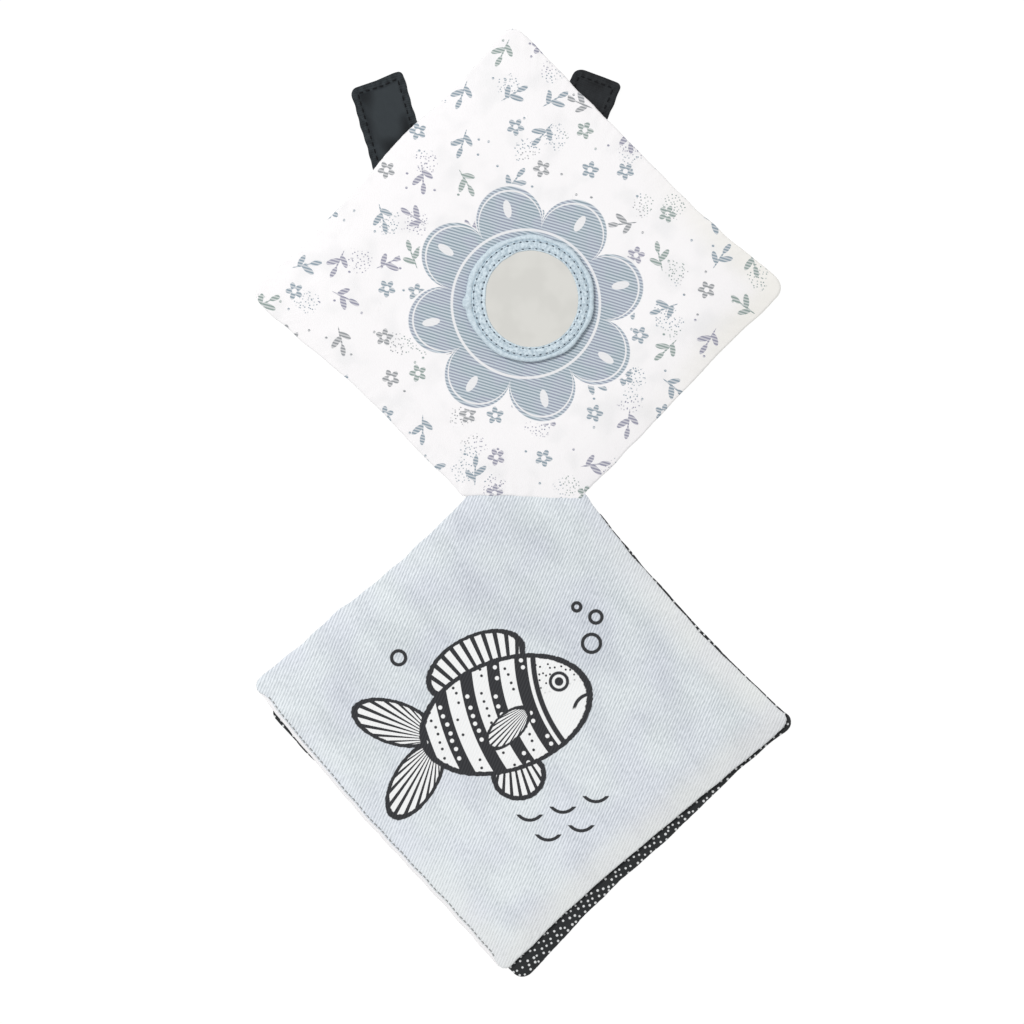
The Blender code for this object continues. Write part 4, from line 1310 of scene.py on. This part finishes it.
def make_surfaces():
    tape = Surface("fastener_tape", 0.7, sheen=0.2, specular_ior_level=0.4)
    film = Surface("crisp_film", 0.16, ior=1.5, transmission_weight=0.6)
    fibre = Surface("batting_fibre", 0.95, sheen=0.3)
    foam = Surface("backing_foam", 0.95)
    mirror = Surface("mirror_film", 0.05, metallic=1.0)
    haze = noise(mirror.flat, 12.0, 97.0)
    mirror.link(mix(linear(214, 213, 208), linear(219, 218, 213), smooth(haze, 0.35, 0.65)), "Base Color")
    mirror.link(smooth(haze, 0.3, 0.7) * 0.03 + 0.04, "Roughness")
    return {
        "printed_white": printed_white("printed_white_cotton", True),
        "scattered_white": printed_white("scattered_white_cotton", False),
        "plain_white": plain_white(),
        "printed_blue": printed_blue(),
        "plain_blue": plain_blue(),
        "dotted": dotted_cloth(),
        "ring": ring_leather(),
        "ring_thread": thread("ring_thread", (206, 219, 227), (140, 157, 170)),
        "grey_thread": thread("grey_thread", (172, 173, 172), (116, 118, 120)),
        "black_thread": thread("black_thread", (16, 17, 22), (4, 4, 6)),
        "webbing_left": webbing("webbing_left", 16.5, (52, 58, 62), (12, 17, 21), 0.9),
        "webbing_right": webbing("webbing_right", -22.5, (39, 42, 45), (9, 11, 14), 0.5),
        "hook_tape": tape.two_tone(
            noise(tape.place, 0.5, 81.0, 3.0, solid=True), (30, 32, 34), (74, 78, 82), 0.3, 0.75, 0.15
        ),
        "crinkle_film": film.two_tone(
            noise(film.flat, 5.0, 91.0, 4.0), (222, 228, 232), (244, 247, 249), 0.35, 0.65, 0.4
        ),
        "batting": fibre.two_tone(
            noise(fibre.place, (3.0, 0.5), 95.0, 4.0, angle=30.0, solid=True),
            (236, 236, 232), (250, 250, 247), 0.35, 0.65, 0.4,
        ),
        "foam": foam.two_tone(
            cells(foam.flat, PORE_PITCH, 1.0, 9.0)[0], (214, 214, 209), (240, 240, 236),
            0.1 * PORE_PITCH, 0.6 * PORE_PITCH, 0.12 / PORE_PITCH,
        ),
        "mirror": mirror.material,
    }


# The stage: a pale floor, studio light and the camera of the photograph.
VIEW_CENTRE, VIEW_WIDTH = (-0.00471, -0.00299), 0.3875
CAMERA_HEIGHT, SENSOR_WIDTH, CLIP_END = 3.0, 36.0, 20.0
FLOOR_SIDE, FLOOR_Z, FLOOR_COLOUR = 6.0, -0.0004, 0.07
FLOOR_SEEN_LIGHT, FLOOR_CAST_LIGHT = 0.965, 0.95
AMBIENT = 0.53
KEY_PLACE = Vector((-0.78, 0.70, 2.05))
KEY_SIDE, KEY_WATTS = 0.52, 27.5


def seen_directly(tree):
    """1 for what the camera sees, also in the mirror and through film, and 0 for light on the book."""
    ray = tree.nodes.new("ShaderNodeLightPath")
    return largest(*(Field(ray.outputs[f"Is {kind} Ray"]) for kind in ("Camera", "Glossy", "Transmission")))


def make_floor():
    """A matte floor with a glow of its own, clear from below."""
    half = FLOOR_SIDE / 2
    mesh = bpy.data.meshes.new("floor")
    corners = [(x, y, FLOOR_Z) for x, y in ((-half, -half), (half, -half), (half, half), (-half, half))]
    mesh.from_pydata(corners, [], [(0, 1, 2, 3)])
    material = bpy.data.materials.new("pale_floor")
    material.use_nodes = True
    tree = material.node_tree
    tree.nodes.clear()
    output, matte, clear, shape = (
        tree.nodes.new("ShaderNode" + kind)
        for kind in ("OutputMaterial", "BsdfDiffuse", "BsdfTransparent", "NewGeometry")
    )
    matte.inputs["Color"].default_value = (FLOOR_COLOUR, FLOOR_COLOUR, FLOOR_COLOUR, 1.0)
    strength = seen_directly(tree) * (FLOOR_SEEN_LIGHT - FLOOR_CAST_LIGHT) + FLOOR_CAST_LIGHT
    both = field("AddShader", {0: Field(matte.outputs[0]), 1: field("Emission", {"Strength": strength})})
    values = {0: Field(shape.outputs["Backfacing"]), 1: both, 2: Field(clear.outputs[0])}
    tree.links.new(field("MixShader", values).socket, output.inputs["Surface"])
    mesh.materials.append(material)
    add_object("floor", mesh)


def make_world():
    world = bpy.data.worlds.new("studio")
    bpy.context.scene.world = world
    world.use_nodes = True
    background = world.node_tree.nodes["Background"]
    background.inputs["Color"].default_value = (1.0, 1.0, 1.0, 1.0)
    strength = seen_directly(world.node_tree) * (1.0 - AMBIENT) + AMBIENT
    world.node_tree.links.new(strength.socket, background.inputs["Strength"])


def make_key_light():
    light = bpy.data.lights.new("key", "AREA")
    light.shape = "SQUARE"
    light.size = KEY_SIDE
    light.energy = KEY_WATTS
    lamp = add_object("key", light)
    lamp.location = KEY_PLACE
    lamp.rotation_euler = (-KEY_PLACE).to_track_quat("-Z", "Y").to_euler()


def make_camera():
    data = bpy.data.cameras.new("camera")
    data.sensor_width = SENSOR_WIDTH
    data.lens = SENSOR_WIDTH * (CAMERA_HEIGHT - RING_HIGH.z / 2) / VIEW_WIDTH
    data.clip_end = CLIP_END
    camera = add_object("camera", data)
    camera.location = (*VIEW_CENTRE, CAMERA_HEIGHT)
    bpy.context.scene.camera = camera


surfaces = make_surfaces()
make_leaves(surfaces)
make_mirror(surfaces)
for strap in (
    Strap("left", (0.0103, 0.0107), (0.0028, 0.0019), (-0.0001, 0.0, 0.0011), 1),
    Strap("right", (0.0094, 0.0093), (0.0038, 0.0017), (0.0006, 0.0010, 0.0011), 2),
):
    make_strap(strap, surfaces[strap.name.replace("strap", "webbing")], surfaces)
make_tape(surfaces["plain_white"])
make_floor()
make_world()
make_key_light()
make_camera()
bpy.context.scene.view_settings.view_transform = "Standard"
